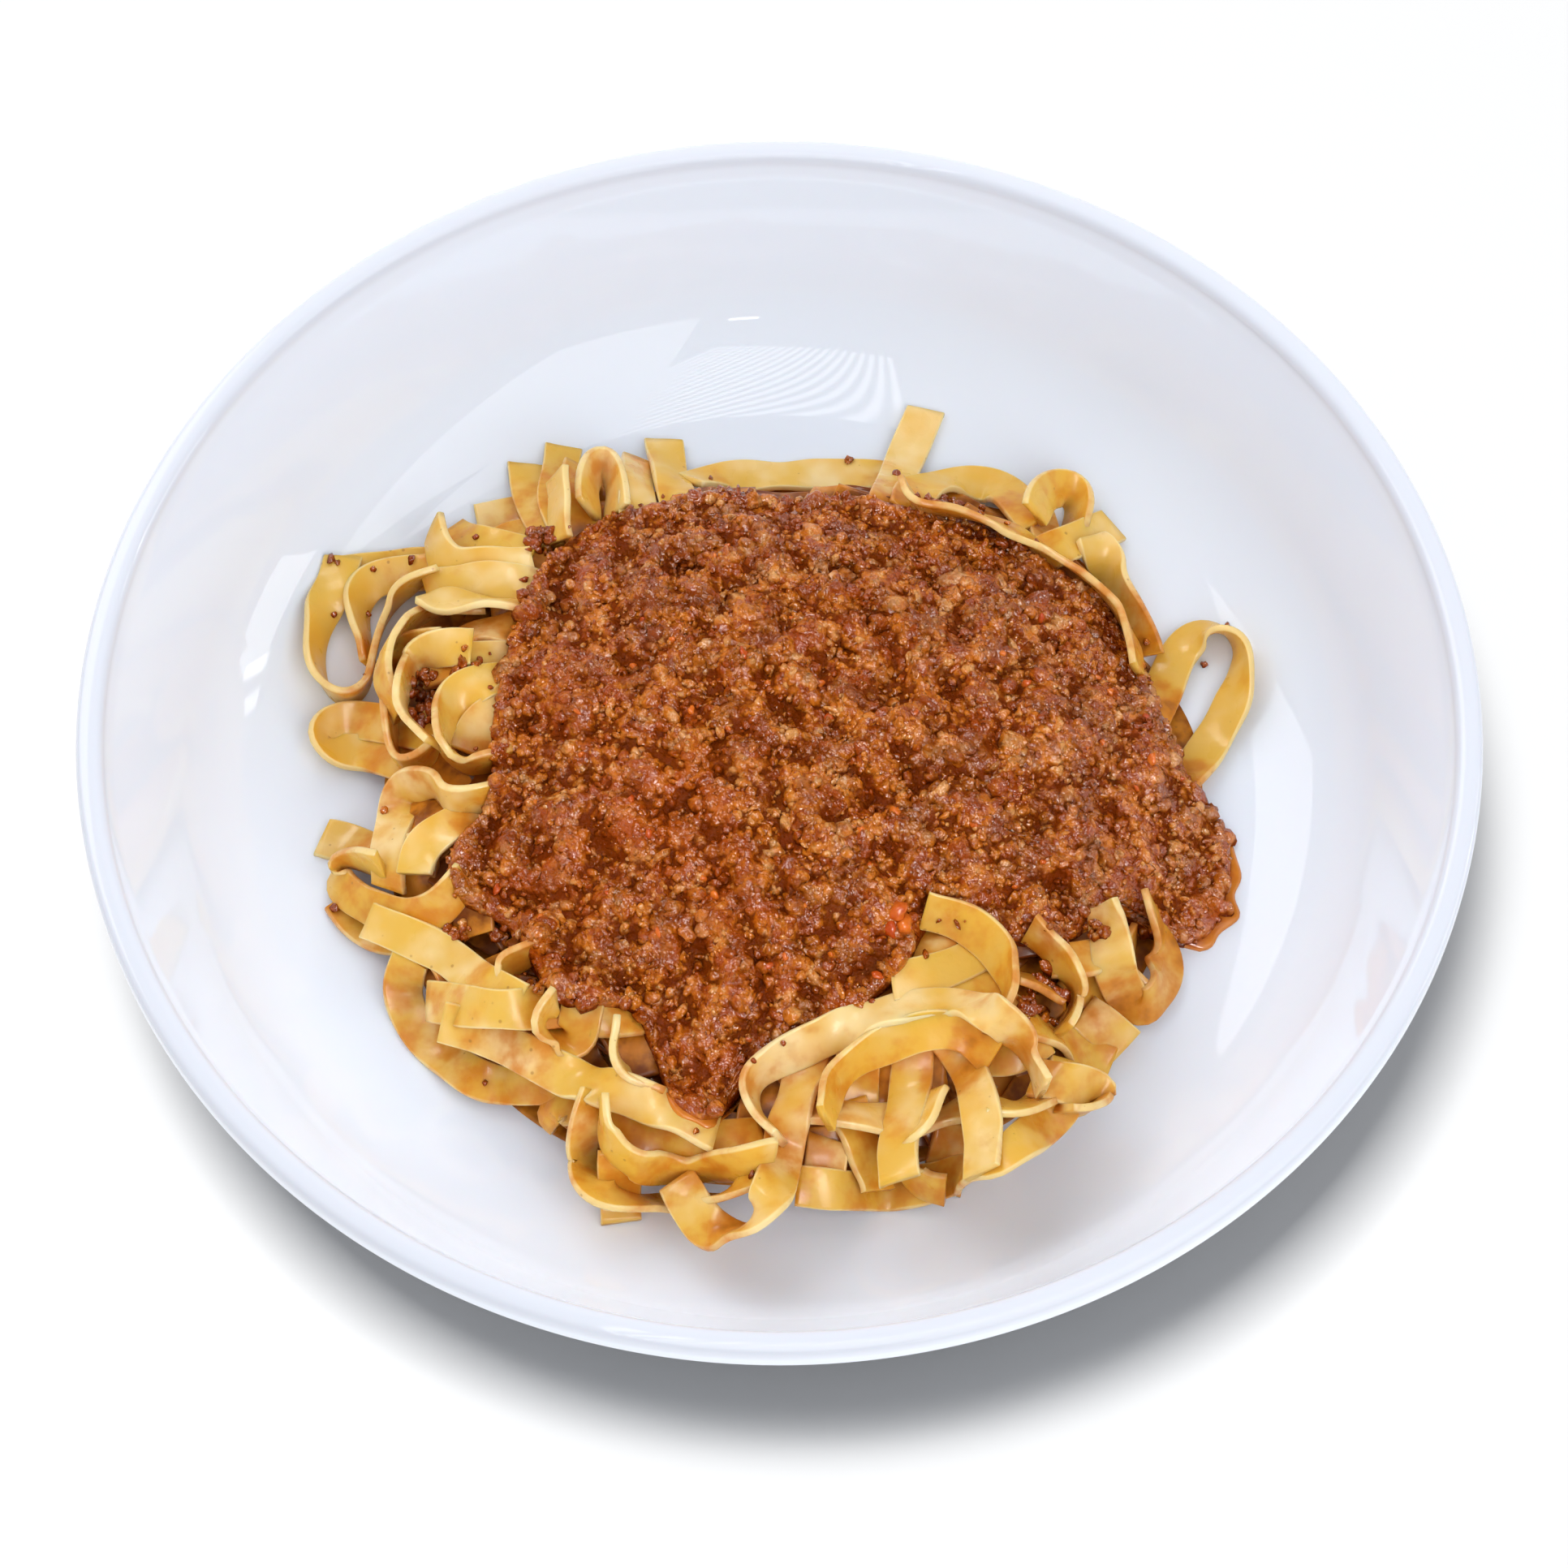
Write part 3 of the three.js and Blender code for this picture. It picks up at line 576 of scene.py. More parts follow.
@dataclass(frozen=True)
class SauceFinish:
    """Wet brown meat sauce: lighter grains, painted shade in the crevices and redder oily places.
    """

    grain: Colour = (0.66, 0.185, 0.010)
    base: Colour = (0.36, 0.056, 0.0015)
    # Painted shade in crevices and on the undersides of grains.
    crevice_shade: Colour = (0.16, 0.022, 0.001)
    red: Colour = (0.50, 0.085, 0.002)
    dark: Colour = (0.20, 0.038, 0.002)
    # Painted sheen: grey patches that stand in for a dull shine on the wet sauce.
    grey_sheen: Colour = (0.32, 0.125, 0.06)
    fat: Colour = (0.78, 0.40, 0.13)
    crumb_sizes: Band = (1.9, 1.15)
    murk_size: float = 6.5
    sheen_size: float = 6.0
    rich_size: float = 7.0

    def material(self) -> bpy.types.Material:
        """Mixes the tones by each crumb's own tone, its painted crevice shade and the oily places.
        """
        sheet = Paint("meat_sauce")
        oil = sheet.mark("oil")
        (far, own), (far_small, own_small) = (sheet.cells(size) for size in self.crumb_sizes)
        mixed = sheet.apply("MULTIPLY", sheet.mark("tone"), 0.50)
        for part, share in ((sheet.noise(1.6, 3.0, 0.65), 0.45), (own, 0.35), (own_small, 0.20)):
            mixed = sheet.plus(mixed, part, share)
        mixed = sheet.stirred(mixed, 4.5, (0.35, 0.65), (-0.15, 0.15))
        # Painted sheen: grey patches by soft noise, fewer in oily places.
        sheen_patches = sheet.plus(sheet.noise(self.sheen_size, 3.0, 0.6), oil, -0.3)
        murk = sheet.noise(self.murk_size, 3.5, 0.65)
        rich = sheet.stirred(oil, self.rich_size, (0.4, 0.7), (-0.2, 0.25))
        colour = sheet.tint(self.base, self.grain, mixed, (0.52, 1.00))
        colour = sheet.tint(colour, self.fat, mixed, (0.95, 1.15), 0.6)
        colour = sheet.tint(colour, self.grey_sheen, sheen_patches, (0.52, 0.70), 0.4)
        colour = sheet.tint(colour, self.dark, murk, (0.45, 0.62), 0.55)
        colour = sheet.tint(colour, self.red, rich, (0.05, 1.0), 0.6)
        # Painted shade: darker along the seams between grains and where the height mark is low.
        seam = sheet.plus(sheet.span(far, (0.30, 0.66), (0.07, -0.16)),
                          sheet.span(far_small, (0.30, 0.66), (0.06, -0.12)))
        low = sheet.stirred(sheet.mark("height"), 1.2, (0.3, 0.7), (-0.12, 0.12))
        low = sheet.plus(low, seam)
        colour = sheet.blend(sheet.span(low, (0.10, 0.62), (0.9, 0.0)), colour, self.crevice_shade)
        lumps = sheet.bump(sheet.noise(1.3, 3.0, 0.65), 0.7, 0.8)
        for away, depth in ((far, 0.5), (far_small, 0.3)):
            lumps = sheet.bump(sheet.span(away, (0.05, 0.75), (1.0, 0.0)), depth, 0.8, lumps)
        normal = sheet.bump(sheet.noise(0.6), 0.22, 0.7, lumps)
        return sheet.finish(
            Base_Color=colour, Roughness=sheet.span(sheet.noise(2.2), (0.3, 0.7), (0.18, 0.42)),
            Normal=normal, IOR=1.42, Specular_IOR_Level=0.05,
            Subsurface_Weight=0.06, Subsurface_Radius=(1.0, 0.35, 0.15), Subsurface_Scale=0.001,
            Coat_Weight=sheet.span(low, (0.25, 0.7)), Coat_Roughness=0.07, Coat_IOR=1.7,
            Coat_Normal=normal,
        )


@dataclass(frozen=True)
class FilmFinish:
    """Thin orange oil and sauce that has run out at the edge."""

    thick: Colour = (0.50, 0.10, 0.008)
    thin: Colour = (0.68, 0.22, 0.02)

    def material(self) -> bpy.types.Material:
        """Orange that pales where the film is thin, smooth and glossy."""
        sheet = Paint("sauce_film")
        share = sheet.stirred(sheet.mark("tone"), 4.0, (0.3, 0.7), (-0.2, 0.2))
        return sheet.finish(
            Base_Color=sheet.tint(self.thick, self.thin, share, (0.2, 1.0)), Roughness=0.16,
            Normal=sheet.bump(sheet.noise(2.5), 0.2, 0.4), IOR=1.45,
            Subsurface_Weight=0.15, Subsurface_Radius=(1.0, 0.4, 0.1), Subsurface_Scale=0.0015,
            Coat_Weight=0.3, Coat_Roughness=0.08,
        )


@dataclass(frozen=True)
class BitFinish:
    """Small soft pieces of tomato and carrot."""

    light: Colour = (0.74, 0.17, 0.012)
    dark: Colour = (0.50, 0.060, 0.004)

    def material(self) -> bpy.types.Material:
        """Orange to red by each piece's own tone, wet and a little see-through."""
        sheet = Paint("vegetable_bits")
        share = sheet.stirred(sheet.mark("tone"), 1.2, (0.3, 0.7), (-0.2, 0.2))
        return sheet.finish(
            Base_Color=sheet.blend(share, self.dark, self.light), Roughness=0.25,
            Normal=sheet.bump(sheet.noise(0.8), 0.2, 0.5), IOR=1.42,
            Subsurface_Weight=0.25, Subsurface_Radius=(1.0, 0.35, 0.1), Subsurface_Scale=0.0015,
            Coat_Weight=0.3, Coat_Roughness=0.1,
        )


@dataclass(frozen=True)
class FloorFinish:
    """A matt pale ground, white under the light over it."""

    white: Colour = (0.42, 0.42, 0.42)

    def material(self) -> bpy.types.Material:
        """An even white with no gloss."""
        return Paint("white_ground").finish(
            Base_Color=self.white, Roughness=0.95, Specular_IOR_Level=0.0,
        )


# ---- The bowl ----


def soften_corners(corners: list[tuple[float, float, float]], steps: int = 7) -> Array:
    """A line of [radius, level] points whose corners are rounded off.

    Each corner c with neighbours a and b is replaced by the curve
    (1-t)^2 p + 2t(1-t) c + t^2 q, where p and q lie cut millimetres from c towards a and b.

    Args:
        corners: radius, level and cut of each corner.
        steps: how many stretches each rounded corner has.

    Returns:
        The rounded line's points.
    """
    spots = np.array(corners)
    line = [spots[:1, :2]]
    t = np.linspace(0.0, 1.0, steps + 1)[:, None]
    for before, corner, after in zip(spots[:-2], spots[1:-1], spots[2:]):
        if corner[2] <= 0:
            line.append(corner[None, :2])
            continue
        p = corner[:2] + unit(before[:2] - corner[:2]) * corner[2]
        q = corner[:2] + unit(after[:2] - corner[:2]) * corner[2]
        line.append((1 - t) ** 2 * p + 2 * t * (1 - t) * corner[:2] + t**2 * q)
    line.append(spots[-1:, :2])
    return np.vstack(line)


@dataclass
class Bowl:
    """The white bowl, turned round its axis."""

    sizes: BowlSizes
    sides: int = 288
    longest_stretch: float = 4.0
    outer_arc: tuple[float, int] = (-72.0, 14)
    inner_arc_steps: int = 26
    unevenness: float = 0.1
    true_below: float = 12.0
    finish: GlazeFinish = field(default_factory=GlazeFinish)

    def arc_line(self, radius: float, start: float, end: float, steps: int) -> Route:
        """Corners along an arc about the turn's centre, with angles from straight out."""
        angles = np.radians(np.linspace(start, end, steps + 1))
        r = self.sizes.floor_radius + radius * np.cos(angles)
        z = self.sizes.floor_level + self.sizes.turn_radius + radius * np.sin(angles)
        return [(float(a), float(b), 0.0) for a, b in zip(r, z)]

    def profile(self) -> Array:
        """The outline from the axis below, round the foot and the lip, to the axis above.

        The third number of each corner is how far the corner is rounded off.
        """
        s = self.sizes
        turn = s.wall_slope - 90.0
        inner_lip = s.radius - s.lip_width
        top = s.height - s.lip_gap
        start, steps = self.outer_arc
        corners = [
            (0.0, s.foot_height, 0.0),
            (s.foot_inner - s.foot_slopes[0], s.foot_height, 0.7),
            (s.foot_inner, 0.0, 0.8),
            (s.foot_outer, 0.0, 0.8),
            (s.foot_outer + s.foot_slopes[1], s.foot_height, 1.6),
            *self.arc_line(s.turn_radius + s.wall_thickness, start, turn, steps),
            (s.radius - s.band_notch[0], s.height - s.band - s.band_notch[1], 1.1),
            (s.radius, s.height - s.band + 0.1, 1.1),
            (s.radius, top, 1.7),
            (inner_lip + s.lip_bevel, top, 1.9),
            (inner_lip, s.height - s.lip_drop, 0.0),
            *self.arc_line(s.turn_radius, turn, -90.0, self.inner_arc_steps),
            (0.0, s.floor_level, 0.0),
        ]
        return soften_corners(corners)

    def surface(self) -> Surface:
        """The profile turned round the axis, on its own rings, with a point at each pole.

        A point is (r cos a, r sin a, z), with the lip's level eased down by up to twice the
        unevenness round the bowl, as fired clay is never quite true.
        """
        line = self.dense(self.profile())
        angle = np.linspace(0.0, 2 * math.pi, self.sides, endpoint=False)
        ring = line[1:-1]
        radius = np.repeat(ring[:, :1], self.sides, axis=1)
        level = np.repeat(ring[:, 1:], self.sides, axis=1)
        high = ease(level, self.true_below, self.sizes.height) * self.unevenness
        level = level + high * (np.sin(2 * angle + 0.6) - 1.0)
        grid = np.stack([radius * np.cos(angle), radius * np.sin(angle), level], axis=-1)
        poles = np.array([[0, 0, line[0, 1]], [0, 0, line[-1, 1]]])
        rows = len(ring)
        return Surface(
            np.vstack([grid.reshape(-1, 3), poles]),
            [closing_fans(rows, self.sides)[:, [0, 2, 1]],
             grid_faces(rows, self.sides)[:, ::-1]],
        )

    def dense(self, line: Array) -> Array:
        """The same line, with points added so that no stretch of it is too long."""
        gaps = np.linalg.norm(np.diff(line, axis=0), axis=1)
        line = line[np.concatenate([[True], gaps > 1e-4])]
        parts = []
        for a, b in zip(line[:-1], line[1:]):
            steps = max(1, math.ceil(np.linalg.norm(b - a) / self.longest_stretch))
            parts.append(a + (b - a) * np.linspace(0, 1, steps, endpoint=False)[:, None])
        return np.vstack([*parts, line[-1:]])

    def build(self) -> bpy.types.Object:
        """Makes the bowl, dresses it and gives it back."""
        finish = self.finish.material()
        return make_piece("bowl_glazed", self.surface(), Node.BOWL, finish)


# ---- What the food lies on ----


@dataclass
class LaidGround:
    """The levels of all that is laid so far, on a square grid, so that strands pile up."""

    bowl: BowlSizes
    heap: HeapSizes
    reach: float = 112.0
    cell: float = 0.5
    gap: float = 0.3
    levels: Array = field(init=False)

    def __post_init__(self) -> None:
        """Starts with the bare heap in the bare bowl."""
        line = np.arange(-self.reach, self.reach + self.cell / 2, self.cell)
        x, y = np.meshgrid(line, line)
        floor = self.bowl.level(np.hypot(x, y)) + self.gap
        core = self.heap.level(x, y, self.bowl.floor_level) - self.heap.inner_drop
        self.levels = np.maximum(floor, core)

    def read(self, x: Array, y: Array, levels: Array | None = None) -> Array:
        """The level at places, mixed from the four nearest cells."""
        grid = self.levels if levels is None else levels
        top = grid.shape[0] - 1.001
        column = np.clip((x + self.reach) / self.cell, 0, top)
        row = np.clip((y + self.reach) / self.cell, 0, top)
        j, i = column.astype(int), row.astype(int)
        u, v = column - j, row - i
        near = grid[i, j] * (1 - u) + grid[i, j + 1] * u
        far = grid[i + 1, j] * (1 - u) + grid[i + 1, j + 1] * u
        return near * (1 - v) + far * v

    def under_sight(
        self, view: Viewpoint, x: Array, y: Array, passes: int,
        levels: Array | None = None, above: float = 0.0,
    ) -> tuple[Array, Array]:
        """Slides drawn places along their sight lines until they lie on the ground.

        Args:
            view: the viewpoint.
            x: drawn x of each place.
            y: drawn y of each place.
            passes: how often the level is read again at the new place.
            levels: the levels to read, the ground's own where left out.
            above: how far over the ground the places lie.

        Returns:
            The x and y of each place.
        """
        at = x, y
        for _ in range(passes):
            at = view.on_sight_line(x, y, self.read(*at, levels) + above)
        return at

    def raise_to(self, points: Array) -> None:
        """Raises the cells under points to the points' levels."""
        last = self.levels.shape[0] - 1
        j = np.clip(np.rint((points[..., 0] + self.reach) / self.cell).astype(int), 0, last)
        i = np.clip(np.rint((points[..., 1] + self.reach) / self.cell).astype(int), 0, last)
        np.maximum.at(self.levels, (i.ravel(), j.ravel()), points[..., 2].ravel())

    def softened(self, spread: float, levels: Array | None = None) -> Array:
        """The levels as a bell-weighted mean over spread millimetres."""
        soft = (self.levels if levels is None else levels).copy()
        steps = spread / self.cell
        reach = int(round(2.5 * steps))
        offsets = np.arange(-reach, reach + 1)
        weights = np.exp(-0.5 * (offsets / steps) ** 2)
        weights /= weights.sum()
        for axis in (0, 1):
            pad = [(0, 0), (0, 0)]
            pad[axis] = (reach, reach)
            padded = np.pad(soft, pad, mode="edge")
            size = soft.shape[axis]
            soft = sum(
                weight * np.take(padded, np.arange(k, k + size), axis=axis)
                for k, weight in enumerate(weights)
            )
        return soft

    def widened(self, spread: float) -> Array:
        """The highest level within spread millimetres each way."""
        wide = self.levels.copy()
        for _ in range(int(round(spread / self.cell))):
            up = np.maximum(np.roll(wide, 1, 0), np.roll(wide, -1, 0))
            wide = np.maximum(wide, up)
            side = np.maximum(np.roll(wide, 1, 1), np.roll(wide, -1, 1))
            wide = np.maximum(wide, side)
        return wide


# ---- The fettuccine ----

# Each point is (x, y, roll), drawn on the plan level. Roll 0 lies flat, 90 stands on edge with
# its right side up, seen along the strand, and -90 with its left side up. Lower strands first.

UNDER_STRANDS: list[Route] = [
    [(-57, 56.5, 0), (-51, 58, 0), (-44, 59, 0), (-38, 58, 0)],
    [(-62.5, 21, 0), (-61, 27, 0), (-57, 32, 0), (-49, 33, 0)],
    [(-59, 48.5, 0), (-54, 51.5, 0), (-47, 54, -10), (-41, 55, 0)],
    [(-83, -11.5, 0), (-78, -12.8, 0), (-70, -15, 0), (-62, -14, 0)],
    [(-79, -24, 0), (-75.5, -29.5, 0), (-69, -31.5, 0), (-61, -30, 0)],
    [(-42, -33.5, 80), (-47, -36.2, 80), (-49.8, -39, 80), (-48.3, -42.3, 80), (-42, -44, 80)],
    [(-29, -50, 80), (-29.4, -55, 80), (-26.5, -60, 80), (-21, -63, 80)],
    [(-33, -48, 0), (-27, -48, 0), (-18, -46.5, 0)],
    [(-39, -69.5, 60), (-40.6, -67, 40), (-38, -65.3, 20), (-30, -64.5, 0)],
    [(31, -69, 0), (29.5, -76, 0), (28, -82, 0)],
    [(8.5, -72, 0), (8, -78, 0), (7, -83, 0)],
    [(14, -53, 0), (13.8, -61, 0), (13.5, -68, 0)],
    [(34, -55.5, 10), (41, -55.8, 10), (47, -51.5, 10)],
    [(36, -65.5, 45), (43, -66, 45), (47.5, -63.3, 45), (53, -58, 40)],
    [(52, -38, 0), (56, -43, 0), (57.5, -48, 0), (60, -53.5, 0)],
    [(-33, -65, 0), (-25, -70.5, 0), (-15, -72.5, 0), (-3, -71.5, 0)],
    [(-62, 54.5, 10), (-58, 51.5, 0), (-52, 50.5, 0), (-46, 49.5, 0)],
    [(-50, 17, 0), (-55, 12, 0), (-57, 6, 0)],
    [(-60, 26, 0), (-50, 26, 0), (-44, 25, 0)],
    [(47.5, 60, 0), (49.5, 55, 0), (51, 50, 0)],
    [(19, -40, 0), (25, -34.5, 0), (31, -31.5, 0)],
    [(28, -43, 0), (34, -42, 0), (40, -42, 0)],
    [(54, -47, 0), (58, -50.5, 0), (61.5, -54, 0)],
]

BACK_STRANDS: list[Route] = [
    [(-48, 69, 0), (-47, 63, 0), (-44.5, 57, 0), (-42, 51, 0)],
    [(-41, 73, 0), (-41.5, 68, 0), (-42, 61, -10), (-40, 54, -10)],
    [(-37.5, 68.5, 0), (-38, 61, 0), (-37, 54, 0), (-34, 48, 0)],
    [(-36, 59, -60), (-36.3, 66, -60), (-34, 69.7, -50), (-31.3, 67, -60), (-30.5, 58, -60)],
    [(-42, 67, -60), (-41.5, 60, -60), (-41.5, 52, -50)],
    [(-26.5, 70, 0), (-27, 65, 0), (-26.5, 58, 0), (-24, 50, 0)],
    [(-22, 74.5, 0), (-21, 68, 0), (-19, 61, 0), (-17, 54, 0)],
    [(-17, 65.5, 12), (-8, 66.3, 12), (2, 66.5, 12), (12, 66.8, 12), (21, 66.5, 8)],
    [(27.8, 81.5, 0), (24.3, 72, 0), (21, 63, 0), (18, 55, 0)],
    [(23.5, 58, 0), (27, 64.5, 0), (36, 65, 0), (43, 63, -5), (48, 56, -10)],
    [(48, 58, -50), (50, 63, -40), (54, 64, -40), (56.5, 61, -50), (55, 54, -50)],
    [(62.5, 55.5, 0), (56, 52.5, 0), (49, 49, 0), (43, 45, 0)],
    [(58, 53, 0), (61.5, 47, -50), (63.5, 41, -65), (65.8, 35, -55), (67.5, 27, -40)],
]

LEFT_STRANDS: list[Route] = [
    [(-81, 44.5, 0), (-74, 45.5, 0), (-66, 46.5, 0), (-58, 44, 0)],
    [(-62, 45.5, 0), (-70, 44.8, 0), (-76, 43.5, 5), (-78.6, 39.5, 35), (-78.3, 34.5, 62),
     (-77, 29.5, 75), (-76, 25, 80)],
    [(-81.8, 48.5, 0), (-82.8, 43.5, 5), (-84.6, 38.5, 22), (-85.8, 33, 45), (-86.1, 26.5, 62),
     (-84.3, 21, 72), (-79.8, 17.8, 80), (-76.3, 21, 82), (-75.3, 28, 82), (-73.3, 36, 80),
     (-70, 41.8, 80), (-64.5, 46, 70)],
    [(-62, 10, 0), (-73, 12.5, 0), (-80.5, 12.8, 5), (-84.3, 9.8, 60), (-81, 6.8, 20),
     (-74, 5.8, 10), (-66, 3.5, 0)],
    [(-63, 9, -80), (-65.5, 5, -80), (-68.5, 3.5, -80), (-71, 6.5, -80), (-71.5, 13, -75),
     (-72.6, 20, -80), (-71.5, 25.5, -80), (-68, 28.5, -70), (-62, 29, -40)],
    [(-70, 14, 80), (-73.5, 23, 80), (-72.3, 30, 78), (-68.5, 34.3, 70), (-63, 36.8, 55),
     (-55, 37.5, 40)],
    [(-63, 8, -70), (-69, 14, -75), (-69.8, 19, -75), (-68, 24.5, -70), (-64.5, 28.3, -50),
     (-57, 29, -20)],
    [(-65, 55, -50), (-64, 50, -55), (-61, 46.3, -40), (-55, 46.5, -15), (-46, 47, 0)],
    [(-66, 41.5, 0), (-60, 42.8, 0), (-54, 43.6, 0), (-45, 42, 5)],
    [(-66.5, 39.5, 35), (-60, 38.8, 38), (-53, 38.6, 38), (-44, 38, 30)],
    [(-46, 21.5, 0), (-52, 22, 0), (-57, 20.3, 20), (-61, 16, 50), (-62.3, 10.5, 65),
     (-60.5, 6, 78), (-56.5, 3.6, 85), (-50, 5.5, 80)],
]

FRONT_LEFT_STRANDS: list[Route] = [
    [(-66, -36, 30), (-67.3, -43, 12), (-64.5, -50, 0), (-58, -57, 0), (-50, -61.5, 0),
     (-38, -61, 0)],
    [(-52, -5, 0), (-59, -8.5, 0), (-64.5, -13, 0), (-66, -19, 0)],
    [(-50, -3, 60), (-60.5, -3.5, 85), (-62, -0.8, 90), (-65, 0.3, 92), (-68.5, -1.8, 60),
     (-69.5, -7, 20), (-71, -14, 0), (-70.5, -22, 0)],
    [(-72, -17, -85), (-76.5, -16.3, -85), (-79.6, -17.5, -85), (-79.5, -21, -50),
     (-75, -25, -25), (-68, -28, -25), (-62, -26.5, -45), (-57, -20, -60)],
    [(-74, -28.5, 0), (-67, -31.7, 0), (-60, -35.3, 0), (-54, -40.5, 0), (-46, -45, 0)],
    [(-62.5, -44.8, 0), (-55, -46, 0), (-48, -46.5, 0), (-39, -46, 10)],
    [(-34.5, -40, 0), (-35.3, -48, 0), (-36.5, -53, -25), (-40.3, -52.8, -70),
     (-42.6, -49, -80), (-40, -44.5, -80)],
    [(-27.5, -88, 0), (-27.8, -83, 0), (-28, -75, 0)],
    [(-32, -63, 60), (-34.3, -71, 55), (-34.3, -78, 52), (-31, -82.5, 50), (-25, -84.3, 48),
     (-17, -84.5, 48), (-10, -83.2, 48), (-3, -77, 50)],
    [(-31, -64, -80), (-30.3, -71.5, -78), (-25.5, -76.8, -72), (-17, -78.3, -72),
     (-9, -77.3, -72), (-1, -75, -72)],
    [(-60, -49, 0), (-52, -51.5, 0), (-44, -56, 0), (-36, -60.5, 0), (-28, -62.8, 0),
     (-20, -66.5, 0), (-11, -71, 0)],
]

RIGHT_STRANDS: list[Route] = [
    [(66, 8, 0), (70.8, 20, 3), (74.4, 28.2, 18), (80, 33, 44), (85.4, 29.2, 92), (84.2, 19, 143),
     (79.4, 9, 163), (72, -3, 172)],
]

FRONT_RIGHT_STRANDS: list[Route] = [
    [(3, -81, 0), (12, -82, 0), (21, -81.8, 0), (30, -79.3, 0), (38, -75.8, 0), (45, -70.5, 0),
     (50.5, -64.5, 0), (51, -57, 0)],
    [(11.5, -65, 0), (14.5, -73, 0), (17.3, -82, 0)],
    [(45, -60, 0), (53.5, -61.8, -20), (56.8, -63.5, -55), (55.5, -66, -70), (50, -66, -70)],
    [(2, -67, 40), (10, -66.9, 40), (17, -68, 40), (24, -68.6, 40), (31, -66.8, 40),
     (38, -62, 30)],
    [(27, -63, -40), (25, -69.3, -65), (22.3, -73, -75), (22.5, -77.5, -75), (25, -81, -70),
     (29, -82, -60)],
    [(39, -46, 0), (46.5, -50.3, 0), (53.5, -55, 0), (58.5, -58, 0)],
    [(20, -41, 0), (27, -39.5, 0), (34, -36.5, 0), (41, -32, 0)],
]

# These lie over the edge of the sauce.
UPPER_STRANDS: list[Route] = [
    [(24, 64, 60), (25.5, 60.5, 55), (32, 58.8, 50), (40, 56.3, 48), (47, 52, 48), (55, 46.3, 48),
     (61, 40, 48), (65, 32, 55), (66, 24, 60)],
    [(42, -40, 50), (46.5, -41.5, 50), (50.5, -45, 60)],
    [(49, -36.5, 30), (54, -36.5, 30), (59, -35, 30)],
    [(45, -30, -50), (50, -35.5, -60), (52.8, -41, -75), (53, -45.5, -75), (50, -51, -75)],
    [(63.5, -32, 80), (62, -37, 80), (65.5, -42, 80)],
    [(58.5, -25, -80), (59.5, -34, -45), (60.6, -41, -25), (64.3, -46.3, -15),
     (68.3, -42, -30), (68.6, -34, -50), (66.5, -24, -75)],
    [(24, -49, 0), (23.5, -58, 0), (22.6, -65, 0), (20.7, -73, 0), (21, -80, 0)],
    [(27.5, -49, 0), (32.5, -56, 0), (35, -64, 0), (35.8, -71, 0), (35.3, -78.5, 0)],
    [(8, -68, -70), (9.5, -61, -60), (13, -56.8, -45), (19, -53.3, -35), (26, -50.6, -25),
     (33, -51, -25), (38, -56, -40)],
    [(5.7, -53, 0), (4, -60, 0), (1.3, -70, 0), (-0.2, -79, 0), (-2.8, -85.5, -40),
     (-6.5, -90, -50), (-11.5, -89.8, -15), (-14.5, -86.5, 0), (-18, -80, 0)],
    [(26, -26.5, -20), (33, -28.8, -15), (38.3, -33.5, -45), (41, -39, -65), (41.3, -44, -75),
     (38, -49.5, -75)],
    [(0, -72, -70), (-4.8, -66, -66), (-5.2, -60.5, -62), (-1, -56.8, -50), (6, -53, -25),
     (14, -48.8, -5), (22, -46.2, 5), (30, -45.2, 5), (36, -46.2, -10),
     (40.5, -49.5, -40), (44, -54.5, -75), (46.8, -62, -80)],
]

# How much sauce the lowest and the uppermost strands have taken up, from 0 to 1.
UNDER_SOAK = 0.05
UPPER_SOAK = 0.16

# The edge of the whole heap of pasta, drawn in the same way.
PASTA_EDGE: list[tuple[float, float]] = [
    (62, 46), (52, 60), (40, 66), (20, 68), (-5, 68), (-25, 70), (-45, 69), (-56, 58),
    (-66, 48), (-74, 36), (-75, 15), (-71, 0), (-74, -18), (-70, -33), (-64, -48), (-50, -61),
    (-38, -72), (-30, -83), (0, -84), (28, -81), (46, -70), (56, -58), (66, -44), (68, -28),
    (70, -5), (68, 20),
]


# The edge of the sauce, drawn on the plan level.
SAUCE_EDGE: list[tuple[float, float]] = [
    (-24, 61), (-12, 64), (2, 61.5), (14, 63), (24, 60), (38, 56), (50, 48), (60, 40), (66, 28),
    (70, 15), (75, 1), (80.5, -8), (82, -17), (78, -30), (70, -33), (60, -28), (50, -33),
    (40, -32), (28, -29), (22, -38), (11, -49), (1, -54), (-6, -62), (-12, -68), (-19, -64),
    (-23, -54), (-27, -46), (-40, -44), (-47, -32), (-58, -23), (-60, -14), (-53, -2),
    (-53, 14), (-50, 32), (-45, 47), (-34, 57),
]


@dataclass
class DrawnEdge:
    """A closed edge round a middle, as drawn, kept as its reach for each angle."""

    points: Array
    middle: tuple[float, float]
    angles: Array = field(init=False)
    reaches: Array = field(init=False)

    def __post_init__(self) -> None:
        """Sorts the edge's points by their angle from the middle."""
        away = np.asarray(self.points, dtype=float) - np.array(self.middle)
        angle = np.arctan2(away[:, 1], away[:, 0])
        order = np.argsort(angle)
        self.angles = angle[order]
        self.reaches = np.hypot(away[:, 0], away[:, 1])[order]

    def reach(self, angle: Array) -> Array:
        """How far the edge is from the middle at an angle."""
        return np.interp(angle, self.angles, self.reaches, period=2 * math.pi)

    def inside(self, x: Array, y: Array) -> Array:
        """How many millimetres inside the edge places are, along the line to the middle."""
        dx, dy = x - self.middle[0], y - self.middle[1]
        return self.reach(np.arctan2(dy, dx)) - np.hypot(dx, dy)


